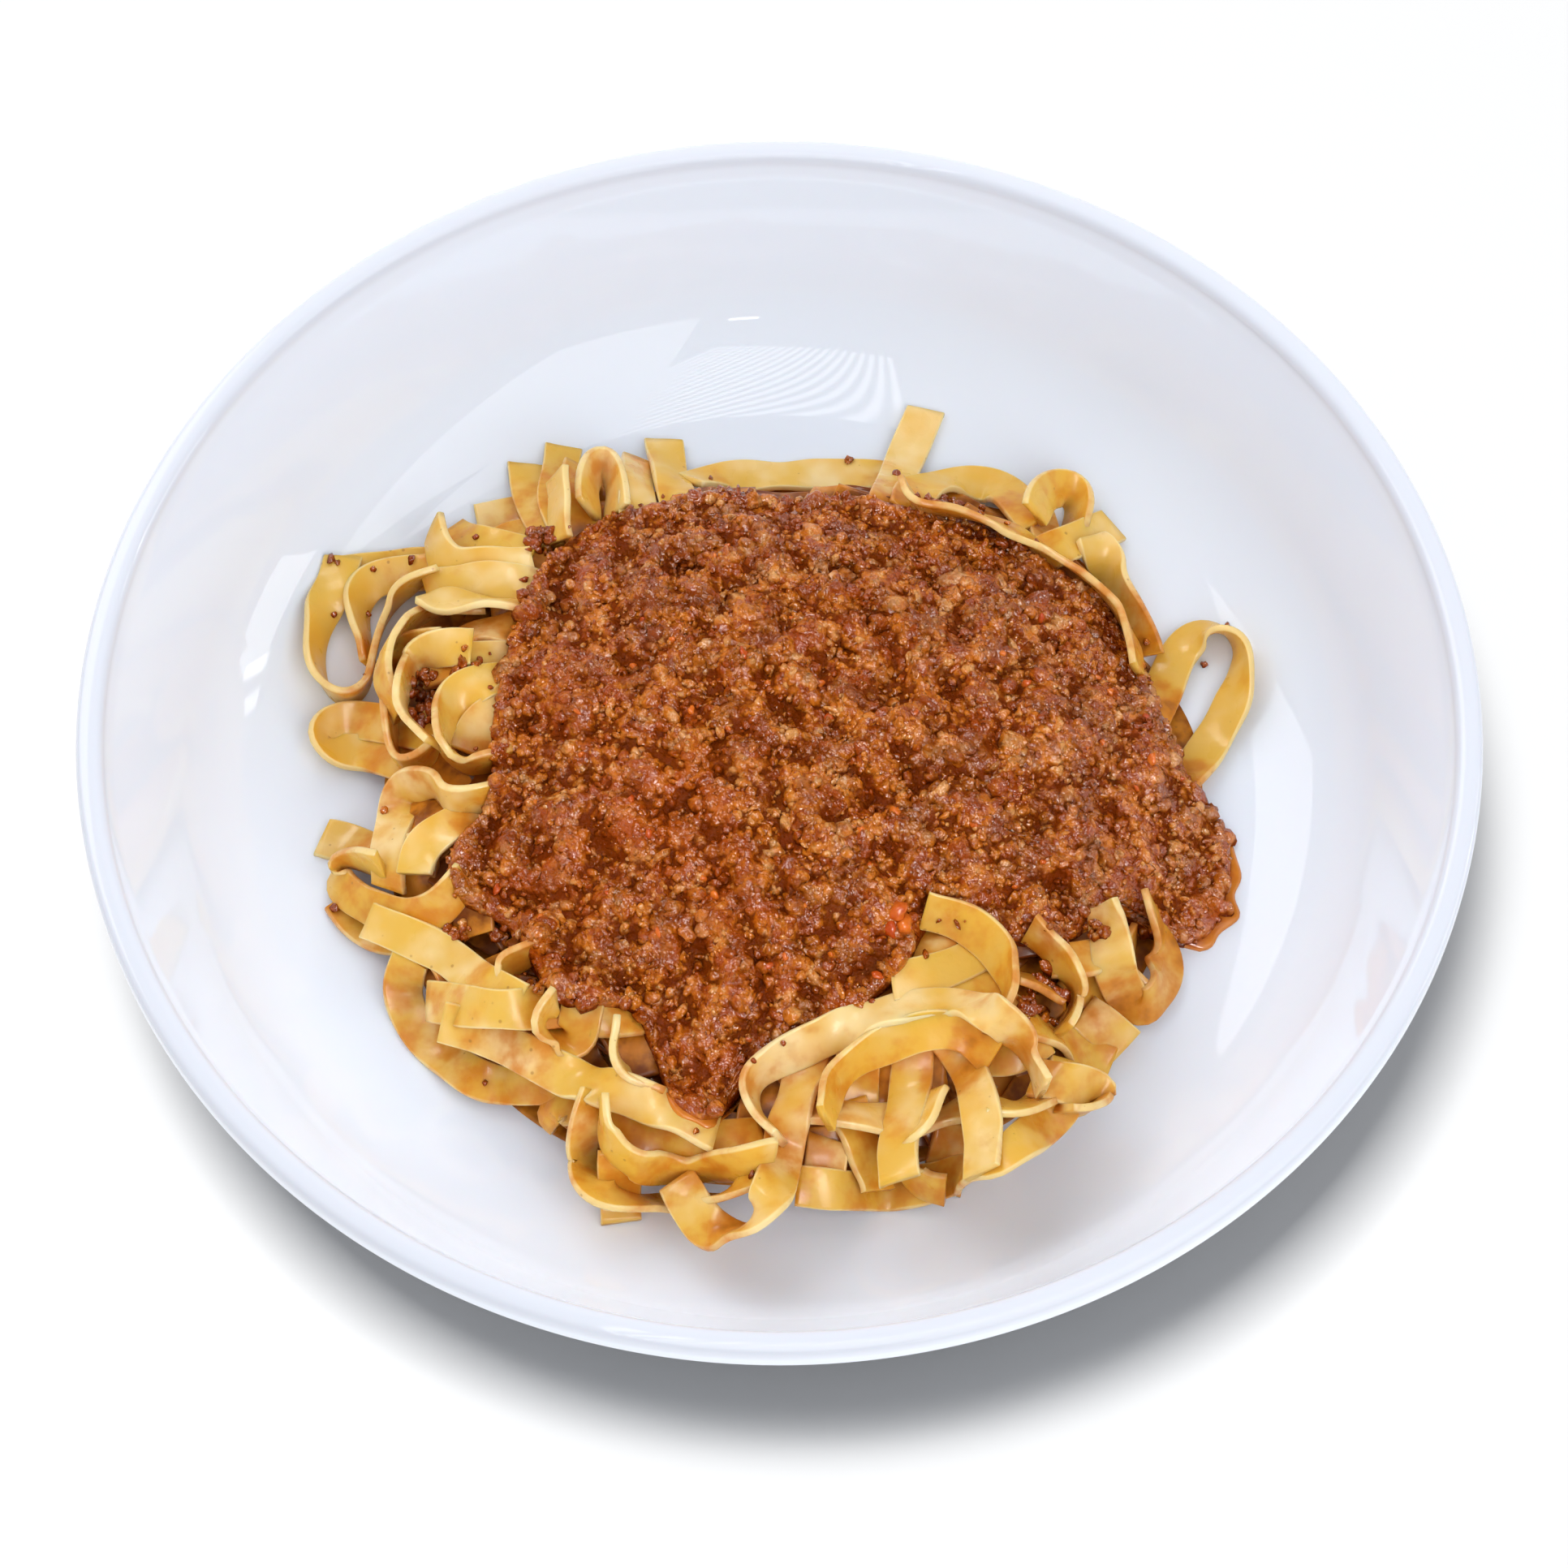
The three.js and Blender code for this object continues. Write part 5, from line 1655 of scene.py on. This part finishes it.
@dataclass
class MeatSauce:
    """The sauce: a bed that drapes over the pasta, grains of mince, bits and a thin film."""

    ground: LaidGround
    outline: SauceOutline
    shape: BedShape = BedShape()
    grain: GrainShape = GrainShape()
    crowd: ScatterKind = ScatterKind()
    loose: LooseKind = LooseKind()
    film_shape: FilmShape = FilmShape()
    clumps: LumpKind = LumpKind(6.0, (2.5, 6.5), (0.08, 0.22))
    crumbs: LumpKind = LumpKind(1.7, (0.8, 1.7), (0.3, 0.75))
    bit_count: int = 60
    bit_radius: Band = (0.45, 0.9)
    seed: int = 23
    kinds: tuple[GrainKind, ...] = (
        GrainKind("coarse", 4.1, (1.1, 1.9), (0.3, 0.85), 1, 0.8),
        GrainKind("medium", 2.5, (0.8, 1.2), (0.2, 0.8), 1, 0.85),
        GrainKind("small", 2.2, (0.5, 0.85), (0.0, 0.65), 1, 0.85),
        GrainKind("fine", 1.35, (0.32, 0.56), (-0.2, 0.5), 0, 0.8),
    )
    finish: SauceFinish = field(default_factory=SauceFinish)
    film: FilmFinish = field(default_factory=FilmFinish)
    bits: BitFinish = field(default_factory=BitFinish)
    rng: np.random.Generator = field(init=False)
    bed: Array = field(init=False)
    smooth_bed: Array = field(init=False)
    rest: Array = field(init=False)
    dips: Array = field(init=False)
    hollow: Array = field(init=False)

    def __post_init__(self) -> None:
        """Works out the bed's level over the whole ground.

        Over what it drapes lies a body of depth * (1 - share^3)^0.8, with swells, clumps and
        crumbs, rounded off at the edge.
        """
        self.rng = np.random.default_rng(self.seed)
        ground, shape = self.ground, self.shape
        line = np.arange(len(ground.levels)) * ground.cell - ground.reach
        x, y = np.meshgrid(line, line)
        share, inside = self.outline.share(x, y)
        heap = ground.heap.level(x, y, ground.bowl.floor_level)
        settled = np.maximum(ground.levels, heap - shape.heap_drop)
        wide, close = (ground.softened(spread, settled) for spread in shape.drape_spreads)
        base = np.maximum(wide + shape.drape_gap, close)
        body = shape.depth * np.maximum(0.0, 1 - np.clip(share, 0, 1) ** 3) ** 0.8
        body = np.maximum(body, self.outline.edge_depth)
        flat = np.stack([x.ravel(), y.ravel()], axis=-1)
        swell = sum(waves(flat, size, self.rng, 16) * rise for size, rise in shape.swells)
        t = np.clip(inside / shape.edge_round, 0.0, 1.0)
        rounded = np.sqrt(np.maximum(0.0, 1 - (1 - t) ** 2))
        body = (body + swell.reshape(x.shape) * ease(inside, 0.0, shape.swell_ease)) * rounded
        self.rest = ground.softened(shape.rest_spread)
        smooth = np.where(inside > 0, base + body, ground.levels)
        clumped = ground.softened(shape.clump_spread, self.lumps(x.shape, self.clumps))
        self.smooth_bed = smooth + clumped * ease(inside, 0.0, shape.clump_ease)
        self.bed = self.smooth_bed + self.lumps(x.shape, self.crumbs) * rounded
        self.dips = self.bed - ground.softened(shape.dip_spread, self.bed)
        close, wide = (ground.softened(spread, self.bed) for spread in shape.hollow_spreads)
        self.hollow = close - wide

    def lumps(self, shape: tuple[int, int], kind: LumpKind) -> Array:
        """Seeded round lumps over the whole ground, the highest of those that overlap.

        A lump of radius r and height h adds h * (1 - d^2 / r^2) at a distance d.
        """
        ground = self.ground
        line = np.arange(-ground.reach, ground.reach, kind.spacing)
        x, y = (v.ravel() for v in np.meshgrid(line, line))
        x = x + self.rng.uniform(-1, 1, x.size) * kind.spacing * 0.8
        y = y + self.rng.uniform(-1, 1, y.size) * kind.spacing * 0.8
        radius = self.rng.uniform(*kind.radius, x.size)
        height = radius * self.rng.uniform(*kind.height, x.size)
        relief = np.zeros(shape)
        j = np.rint((x + ground.reach) / ground.cell).astype(int)
        i = np.rint((y + ground.reach) / ground.cell).astype(int)
        reach = int(math.ceil(kind.radius[1] / ground.cell))
        last = shape[0] - 1
        for di in range(-reach, reach + 1):
            for dj in range(-reach, reach + 1):
                row, column = np.clip(i + di, 0, last), np.clip(j + dj, 0, last)
                dx = column * ground.cell - ground.reach - x
                dy = row * ground.cell - ground.reach - y
                rise = height * np.maximum(0.0, 1 - (dx**2 + dy**2) / radius**2)
                np.maximum.at(relief, (row, column), rise)
        return relief

    def settle(self) -> None:
        """Raises the ground to the sauce, so that the upper strands lie on it."""
        self.ground.levels = np.maximum(self.ground.levels, self.bed)

    def oiliness(self, x: Array, y: Array) -> Array:
        """How oily places are: the sum of soft round spots."""
        return np.clip(sum(
            strength * np.exp(-((x - px) ** 2 + (y - py) ** 2) / radius**2)
            for px, py, radius, strength in OILY_PLACES
        ), 0.0, 1.0)

    def bed_surface(self) -> Surface:
        """The bed as rings round the middle, down to the edge, with a closed underside.

        Its height mark paints shade, low and so darker in crevices: it is a + b * dip + c *
        hollow, with a, b, c the shape's clear.
        """
        shape = self.shape
        rows, sides = shape.rings, shape.sides
        angle = np.linspace(-math.pi, math.pi, sides, endpoint=False)
        share = np.linspace(shape.first_ring, 1.0, rows)[:, None]
        x, y = self.outline.around(angle, self.outline.reach(angle)[None] * share)
        level = self.ground.read(x, y, self.bed)
        under = self.ground.softened(1.0, self.smooth_bed)
        rim = self.ground.read(x[-1], y[-1], under) - shape.underside
        level[-1] = np.minimum(level[-1], rim + shape.rim_height)
        grid = np.stack([x, y, level], axis=-1)
        below = np.array([*self.outline.middle, float(rim.min())])
        points = np.vstack([grid.reshape(-1, 3), grid[0].mean(axis=0), below])
        x, y = points[:, 0], points[:, 1]
        dips, hollow = self.ground.read(x, y, self.dips), self.ground.read(x, y, self.hollow)
        usual, swing = shape.tone
        base, dip_share, hollow_share = shape.clear
        marks = {
            "tone": usual + swing * waves(points[:, :2], shape.tone_size, self.rng),
            "height": np.clip(base + dip_share * dips + hollow_share * hollow, 0.0, 1.0),
            "oil": self.oiliness(x, y),
        }
        return Surface(points, [closing_fans(rows, sides), grid_faces(rows, sides)], marks)

    def grains(
        self, centres: Array, radii: Array, splits: int, tones: Array, height: Array,
    ) -> Surface:
        """Many uneven grains as one surface.

        Each is a ball stretched three ways, turned at random and roughened by waves. Its height
        mark paints shade, darker in crevices and on the underside: stand_share * height +
        top_share * top - clear_from, where top climbs from 0 at its underside to 1 at its upper
        side.

        Args:
            centres: the middle of each grain.
            radii: its mean radius.
            splits: how often the ball's faces are split.
            tones: its own tone.
            height: how clear of the painted crevice shade it stands.

        Returns:
            The surface with its marks.
        """
        ball, faces = unit_ball(splits)
        count, each = len(centres), len(ball)
        stretch = self.rng.uniform(*self.grain.stretch, size=(count, 1, 3))
        stretch[..., 0] *= self.rng.choice(self.grain.longer, size=(count, 1))
        turns, _ = np.linalg.qr(self.rng.normal(size=(count, 3, 3)))
        turns *= np.sign(np.linalg.det(turns))[:, None, None]
        spin = self.rng.normal(size=(count, 3, 3)) * self.grain.wave_rate
        phase = self.rng.uniform(0, 2 * math.pi, size=(count, 1, 3))
        wave = np.sin(ball[None] @ spin + phase).sum(axis=-1, keepdims=True)
        rough = 1 + self.grain.wave_height * wave
        shape = (ball[None] * rough * stretch) @ turns
        points = centres[:, None] + shape * radii[:, None, None]
        faces = faces[None] + (np.arange(count) * each)[:, None, None]
        # Painted shade: each grain's underside is darker than its top.
        top = 0.5 + 0.5 * (shape[..., 2] / np.abs(shape[..., 2]).max(axis=1, keepdims=True))
        stand = height[:, None] * self.grain.stand_share
        clear = stand + self.grain.top_share * top - self.grain.clear_from
        flat = points.reshape(-1, 3)
        marks = {
            "tone": np.repeat(tones, each),
            "height": np.clip(clear.ravel(), 0.0, 1.0),
            "oil": self.oiliness(flat[:, 0], flat[:, 1]),
        }
        return Surface(flat, [faces.reshape(-1, 3)], marks)

    def scatter(self, kind: GrainKind) -> Surface:
        """Grains of one size over the whole sauce, on a shaken grid, sparser in oily places."""
        rng, rule = self.rng, self.crowd
        line = np.arange(*rule.span, kind.spacing)
        x, y = (v.ravel() for v in np.meshgrid(line, line))
        x = x + rng.uniform(-rule.shake, rule.shake, x.size) * kind.spacing
        y = y + rng.uniform(-rule.shake, rule.shake, y.size) * kind.spacing
        inside = self.outline.share(x, y)[1]
        clump = waves(np.stack([x, y], axis=-1), rule.clump_size, rng, 14)
        crowd = rule.crowding[0] + rule.crowding[1] * clump
        chance = kind.keep * (1 - rule.less_in_oil * self.oiliness(x, y)) * crowd
        kept = (inside > rule.from_edge) & (rng.uniform(size=x.size) < chance)
        x, y, clump = x[kept], y[kept], clump[kept]
        radius = rng.uniform(*kind.radius, x.size) * (1 + rule.larger * clump)
        sunk = rng.uniform(*kind.sunk, x.size)
        level = self.ground.read(x, y, self.bed) - sunk * radius
        tones = np.clip(rng.normal(*rule.tone, x.size) + rule.lighter * clump, 0.0, 1.0)
        centres = np.stack([x, y, level], axis=-1)
        # Painted shade: sunk grains and grains in dips and hollows are darker.
        stand = 1 - sunk + rule.dip_share * self.ground.read(x, y, self.dips)
        stand = stand + rule.hollow_share * self.ground.read(x, y, self.hollow)
        return self.grains(centres, radius, kind.splits, tones, stand)

    def loose_places(self) -> tuple[Array, Array, Array]:
        """Seeded places and radii of grains: near the sauce's edge and in the pockets.

        Near the edge they lie only on pasta. In a pocket they lie only where the ground is no
        more than pocket_lip over the mean around it, which is the gap itself.
        """
        rng, ground, kind = self.rng, self.ground, self.loose
        angle = rng.uniform(-math.pi, math.pi, kind.count)
        off = np.abs(rng.normal(0.0, kind.spread, angle.size))
        x, y = self.outline.around(angle, self.outline.reach(angle) + off)
        on_pasta = ground.read(x, y) > ground.bowl.level(np.hypot(x, y)) + kind.over_bowl
        radius = rng.uniform(*kind.radius, angle.size)
        pockets = np.array(SAUCE_POCKETS)
        times = (kind.pocket_crowd * math.pi * pockets[:, 2] ** 2).astype(int)
        spots = np.repeat(pockets, times, axis=0)
        away = spots[:, 2] * np.sqrt(rng.uniform(size=len(spots)))
        turn = rng.uniform(-math.pi, math.pi, len(spots))
        px, py = spots[:, 0] + away * np.cos(turn), spots[:, 1] + away * np.sin(turn)
        px, py = ground.under_sight(self.outline.view, px, py, 1)
        around = ground.read(px, py, ground.softened(kind.pocket_spread))
        low = ground.read(px, py) < around + kind.pocket_lip
        sizes = rng.uniform(*kind.pocket_radius, len(spots))
        pairs = ((x, px), (y, py), (radius, sizes))
        return tuple(np.concatenate([a[on_pasta], b[low]]) for a, b in pairs)

    def loose_surface(self) -> Surface:
        """Grains that lie on the pasta and in its gaps, and the few clear ones of the list."""
        fixed = np.array(LOOSE_GRAINS)
        seeded = self.loose_places()
        at = self.ground.under_sight(self.outline.view, fixed[:, 0], fixed[:, 1], 4)
        x, y, radius = (np.concatenate(pair) for pair in zip((*at, fixed[:, 2]), seeded))
        level = self.ground.read(x, y) + self.loose.raised * radius
        tones = self.rng.uniform(*self.loose.tone, x.size)
        centres = np.stack([x, y, level], axis=-1)
        return self.grains(centres, radius, 1, tones, np.full(x.size, self.loose.stand))

    def bit_surface(self) -> Surface:
        """Soft bits of vegetable: the few clear ones of the list, the rest seeded."""
        angle = self.rng.uniform(-math.pi, math.pi, self.bit_count)
        share = np.sqrt(self.rng.uniform(0.0, 0.92, angle.size))
        at = self.outline.around(angle, self.outline.reach(angle) * share)
        seeded = (*at, self.rng.uniform(*self.bit_radius, angle.size))
        x, y, radius = (np.concatenate(pair) for pair in zip(np.array(CLEAR_BITS).T, seeded))
        centres = np.stack([x, y, self.ground.read(x, y, self.bed) + 0.1 * radius], axis=-1)
        return self.grains(centres, radius, 1, self.rng.uniform(0, 1, x.size), np.ones(x.size))

    def film_surface(self) -> Surface:
        """A thin film that runs a little way out from under the sauce where it meets the bowl.

        Its reach past the edge is large where it is named and small elsewhere, and its top
        falls to nothing at its own edge.
        """
        kind, ground = self.film_shape, self.ground
        angle = np.linspace(-math.pi, math.pi, kind.sides, endpoint=False)
        spill = -kind.held_back + sum(
            size * np.exp(-(((angle - a) / wide) ** 2)) for a, wide, size in kind.spills)
        swing = waves(angle[:, None] * kind.uneven_turn, kind.uneven_wave, self.rng, 6)
        spill = spill * (1 + kind.uneven * swing)
        share = np.linspace(0.0, 1.0, kind.rings)[:, None]
        edge = self.outline.reach(angle)[None]
        x, y = self.outline.around(angle, edge - kind.start + (kind.start + spill[None]) * share)
        thick = kind.thickness * np.sqrt(np.maximum(0.0, 1 - share**2))
        level = ground.read(x, y, self.rest) + thick
        hid = slice(kind.hidden_rings)
        over = ground.read(x[hid], y[hid], self.smooth_bed)
        level[hid] = np.minimum(level[hid], over - kind.hidden_by)
        top = np.stack([x, y, level], axis=-1)
        low = top.copy()
        low[..., 2] = low[..., 2] - thick - kind.under
        rows, column = 2 * kind.rings, np.arange(kind.sides)
        after = (column + 1) % kind.sides
        last = (rows - 1) * kind.sides
        seam = np.stack([last + column, column, after, last + after], axis=-1)
        return Surface(
            np.vstack([top.reshape(-1, 3), low[::-1].reshape(-1, 3)]),
            [np.vstack([grid_faces(rows, kind.sides), seam])],
            {"tone": np.repeat(np.concatenate([share[:, 0], share[::-1, 0]]), kind.sides)},
        )

    def build(self) -> None:
        """Makes the sauce's pieces and dresses them."""
        sauce = self.finish.material()
        pieces = [("sauce_bed", self.bed_surface, sauce)]
        pieces += [(f"mince_{kind.name}", partial(self.scatter, kind), sauce)
                   for kind in self.kinds]
        pieces += [("mince_loose", self.loose_surface, sauce),
                   ("vegetable_bits", self.bit_surface, self.bits.material()),
                   ("sauce_film", self.film_surface, self.film.material())]
        for name, surface, material in pieces:
            make_piece(name, surface(), Node.SAUCE, material)


# ---- The studio ----

# The point that lights face, in metres.
FOOD_MIDDLE = (0.0, 0.0, 0.02)


class Lit(Enum):
    """What a light reaches. The dish is the bowl and the food."""

    BOWL = "bowl"
    DISH = "dish"
    FOOD = "food"
    GROUND = "ground"


@dataclass(frozen=True)
class SoftLight:
    """A rectangular soft light, facing the food or straight down.

    With stripes it shines in soft bands, as a window does through a blind. A light may be only
    mirrored, or only shine, so that a window's look and its strength are set apart.
    """

    name: str
    place: tuple[float, float, float]
    size: tuple[float, float]
    power: float
    turn: float = 0.0
    stripes: int = 0
    mirrored: bool = True
    shines: bool = True
    down: bool = False
    on: Lit = Lit.DISH
    colour: Colour = (1.0, 1.0, 1.0)
    stripe_band: Band = (-0.6, 0.6)
    stripe_strength: Band = (0.1, 1.9)

    def add_stripes(self, lamp: bpy.types.Light) -> None:
        """Makes the light's strength swing across it, by a sine of its own place."""
        lamp.use_nodes = True
        sheet = NodeSheet(lamp.node_tree)
        across = sheet.axis(sheet.add("NewGeometry").outputs["Parametric"], 0)
        wave = sheet.apply("SINE", sheet.apply("MULTIPLY", across, 2 * math.pi * self.stripes))
        strength = sheet.span(wave, self.stripe_band, self.stripe_strength, "LINEAR")
        sheet.feed(lamp.node_tree.nodes["Emission"].inputs["Strength"], strength)

    def keep_to(
        self, holder: bpy.types.Object, ground: bpy.types.Object, bowl: bpy.types.Object,
    ) -> None:
        """Lets the light reach only the ground or the bowl, or leaves one or both of them out.

        A light for the bowl alone isn't shaded by the food.

        Args:
            holder: the light's object.
            ground: the ground's object.
            bowl: the bowl's object.
        """
        group = bpy.data.collections.new(f"{self.name}_lit")
        named = {Lit.GROUND: (ground,), Lit.BOWL: (bowl,), Lit.DISH: (ground,),
                 Lit.FOOD: (ground, bowl)}
        for thing in named[self.on]:
            group.objects.link(thing)
        for member in group.collection_objects:
            only = self.on in (Lit.GROUND, Lit.BOWL)
            member.light_linking.link_state = "INCLUDE" if only else "EXCLUDE"
        holder.light_linking.receiver_collection = group
        if self.on is Lit.BOWL:
            holder.light_linking.blocker_collection = group

    def build(self, ground: bpy.types.Object, bowl: bpy.types.Object) -> None:
        """Makes the light, with its place and size in metres."""
        lamp = bpy.data.lights.new(self.name, "AREA")
        lamp.shape = "RECTANGLE"
        lamp.size, lamp.size_y = self.size
        lamp.energy = self.power
        lamp.color = self.colour
        if self.stripes:
            self.add_stripes(lamp)
        holder = bpy.data.objects.new(self.name, lamp)
        towards = Vector(FOOD_MIDDLE) - Vector(self.place)
        facing = Quaternion() if self.down else towards.to_track_quat("-Z", "Y")
        facing = facing @ Quaternion((0, 0, 1), math.radians(self.turn))
        holder.rotation_euler = facing.to_euler()
        holder.location = self.place
        holder.visible_glossy = self.mirrored
        holder.visible_diffuse = self.shines
        bpy.context.scene.collection.objects.link(holder)
        self.keep_to(holder, ground, bowl)


@dataclass
class Studio:
    """The ground, the lights, the pale surroundings and the camera."""

    view: Viewpoint
    bowl: bpy.types.Object
    ground_size: float = 4000.0
    horizon: float = 0.86
    zenith: float = 0.65
    mirrored_share: float = 0.08
    sky: Colour = (0.97, 0.98, 1.0)
    sensor_width: float = 36.0
    clip: Band = (0.05, 20.0)
    lights: tuple[SoftLight, ...] = (
        SoftLight("window", (0.72, -0.86, 1.00), (0.86, 1.86), 8.0, turn=8.0, shines=False,
                  down=True),
        SoftLight("blind", (0.06, -0.22, 1.00), (0.46, 0.98), 2.3, turn=-13.0, stripes=21,
                  shines=False, down=True),
        SoftLight("bright_pane", (0.107, -1.02, 0.66), (0.09, 0.04), 0.10, shines=False,
                  on=Lit.BOWL),
        SoftLight("right_window", (1.40, 0.20, 0.51), (0.47, 0.53), 2.0, shines=False,
                  on=Lit.BOWL),
        SoftLight("right_panes", (1.28, 0.49, 0.63), (0.26, 0.34), 0.6, stripes=2, shines=False,
                  on=Lit.BOWL),
        SoftLight("back_pane", (-0.63, 0.67, 0.94), (0.7, 0.7), 3.1, shines=False, on=Lit.BOWL),
        SoftLight("front_glint", (0.30, -0.62, 1.00), (0.40, 0.40), 8.5, shines=False,
                  on=Lit.FOOD),
        SoftLight("spark", (0.10, -0.35, 1.15), (0.16, 0.16), 2.4, shines=False, on=Lit.FOOD),
        SoftLight("back_glint", (-0.35, 0.55, 1.05), (0.28, 0.28), 4.0, shines=False,
                  on=Lit.FOOD),
        SoftLight("key", (0.60, -0.78, 0.86), (1.1, 1.1), 8.1, mirrored=False,
                  colour=(0.93, 0.975, 1.0)),
        SoftLight("back_left", (-0.60, 0.75, 0.87), (1.3, 1.3), 6.0, mirrored=False),
        SoftLight("back_of_bowl", (-0.10, 1.20, 0.62), (1.6, 0.6), 8.2, mirrored=False,
                  on=Lit.BOWL),
        SoftLight("left_of_food", (-0.90, -0.20, 0.80), (1.0, 1.0), 3.0, mirrored=False,
                  on=Lit.FOOD),
        SoftLight("over_ground", (-0.32, -0.36, 3.0), (0.8, 0.8), 165.0, on=Lit.GROUND),
    )
    floor: FloorFinish = field(default_factory=FloorFinish)

    def build_ground(self) -> bpy.types.Object:
        """A wide plane just under the foot, which is also given back."""
        half = self.ground_size / 2
        signs = np.array([(-1, -1, 0), (1, -1, 0), (1, 1, 0), (-1, 1, 0)])
        corners = signs * half
        mesh = bpy.data.meshes.new("ground")
        mesh.from_pydata((corners * MM).tolist(), [], [(0, 1, 2, 3)])
        mesh.materials.append(self.floor.material())
        plane = bpy.data.objects.new("ground", mesh)
        bpy.context.scene.collection.objects.link(plane)
        return plane

    def build_surroundings(self) -> None:
        """A pale light from all round, brightest overhead, and dimmer in mirrored light.

        Its strength is horizon + (zenith - horizon) * z, with z the height of the direction.
        """
        world = bpy.data.worlds.new("pale_room")
        world.use_nodes = True
        sheet = NodeSheet(world.node_tree)
        back = world.node_tree.nodes["Background"]
        back.inputs["Color"].default_value = (*self.sky, 1.0)
        height = sheet.axis(sheet.add("TexCoord").outputs["Generated"], 2)
        strength = sheet.span(height, (0.0, 1.0), (self.horizon, self.zenith), "LINEAR")
        glossy = sheet.add("LightPath").outputs["Is Glossy Ray"]
        dimmer = sheet.span(glossy, (0.0, 1.0), (1.0, self.mirrored_share), "LINEAR")
        sheet.feed(back.inputs["Strength"], sheet.apply("MULTIPLY", strength, dimmer))
        bpy.context.scene.world = world

    def build_camera(self) -> None:
        """The camera at the viewpoint, turned up from straight down by 90 - elevation."""
        lens = bpy.data.cameras.new("camera")
        lens.sensor_width = self.sensor_width
        lens.lens = lens.sensor_width * self.view.lens_to_sensor
        lens.clip_start, lens.clip_end = self.clip
        holder = bpy.data.objects.new("camera", lens)
        holder.location = Vector(self.view.place * MM)
        holder.rotation_euler = (math.radians(90.0 - self.view.elevation), 0.0, 0.0)
        bpy.context.scene.collection.objects.link(holder)
        bpy.context.scene.camera = holder

    def build(self) -> None:
        """Makes the whole studio, with plain colour handling."""
        bpy.context.scene.view_settings.view_transform = "Standard"
        ground = self.build_ground()
        self.build_surroundings()
        self.build_camera()
        for light in self.lights:
            light.build(ground, self.bowl)


def main() -> None:
    """Builds the bowl, the pasta, the sauce and the studio in the order in which they lie."""
    logging.basicConfig(level=logging.INFO, format="%(message)s")
    view = Viewpoint()
    sizes = BowlSizes.from_frame()
    bowl = Bowl(sizes).build()
    ground = LaidGround(sizes, HeapSizes())
    pasta = Fettuccine(ground, view)
    pasta.lay_fillers()
    pasta.lay_group("under", UNDER_STRANDS, soak=UNDER_SOAK)
    for name, routes in (("back", BACK_STRANDS), ("left", LEFT_STRANDS),
                         ("front_left", FRONT_LEFT_STRANDS), ("right", RIGHT_STRANDS),
                         ("front_right", FRONT_RIGHT_STRANDS)):
        pasta.lay_group(name, routes)
    outline = SauceOutline(ground, view)
    sauce = MeatSauce(ground, outline)
    sauce.settle()
    pasta.lay_group("upper", UPPER_STRANDS, soak=UPPER_SOAK, trim=False)
    pasta.build(outline.nearness)
    sauce.build()
    Studio(view, bowl).build()


if __name__ == "__main__":
    main()
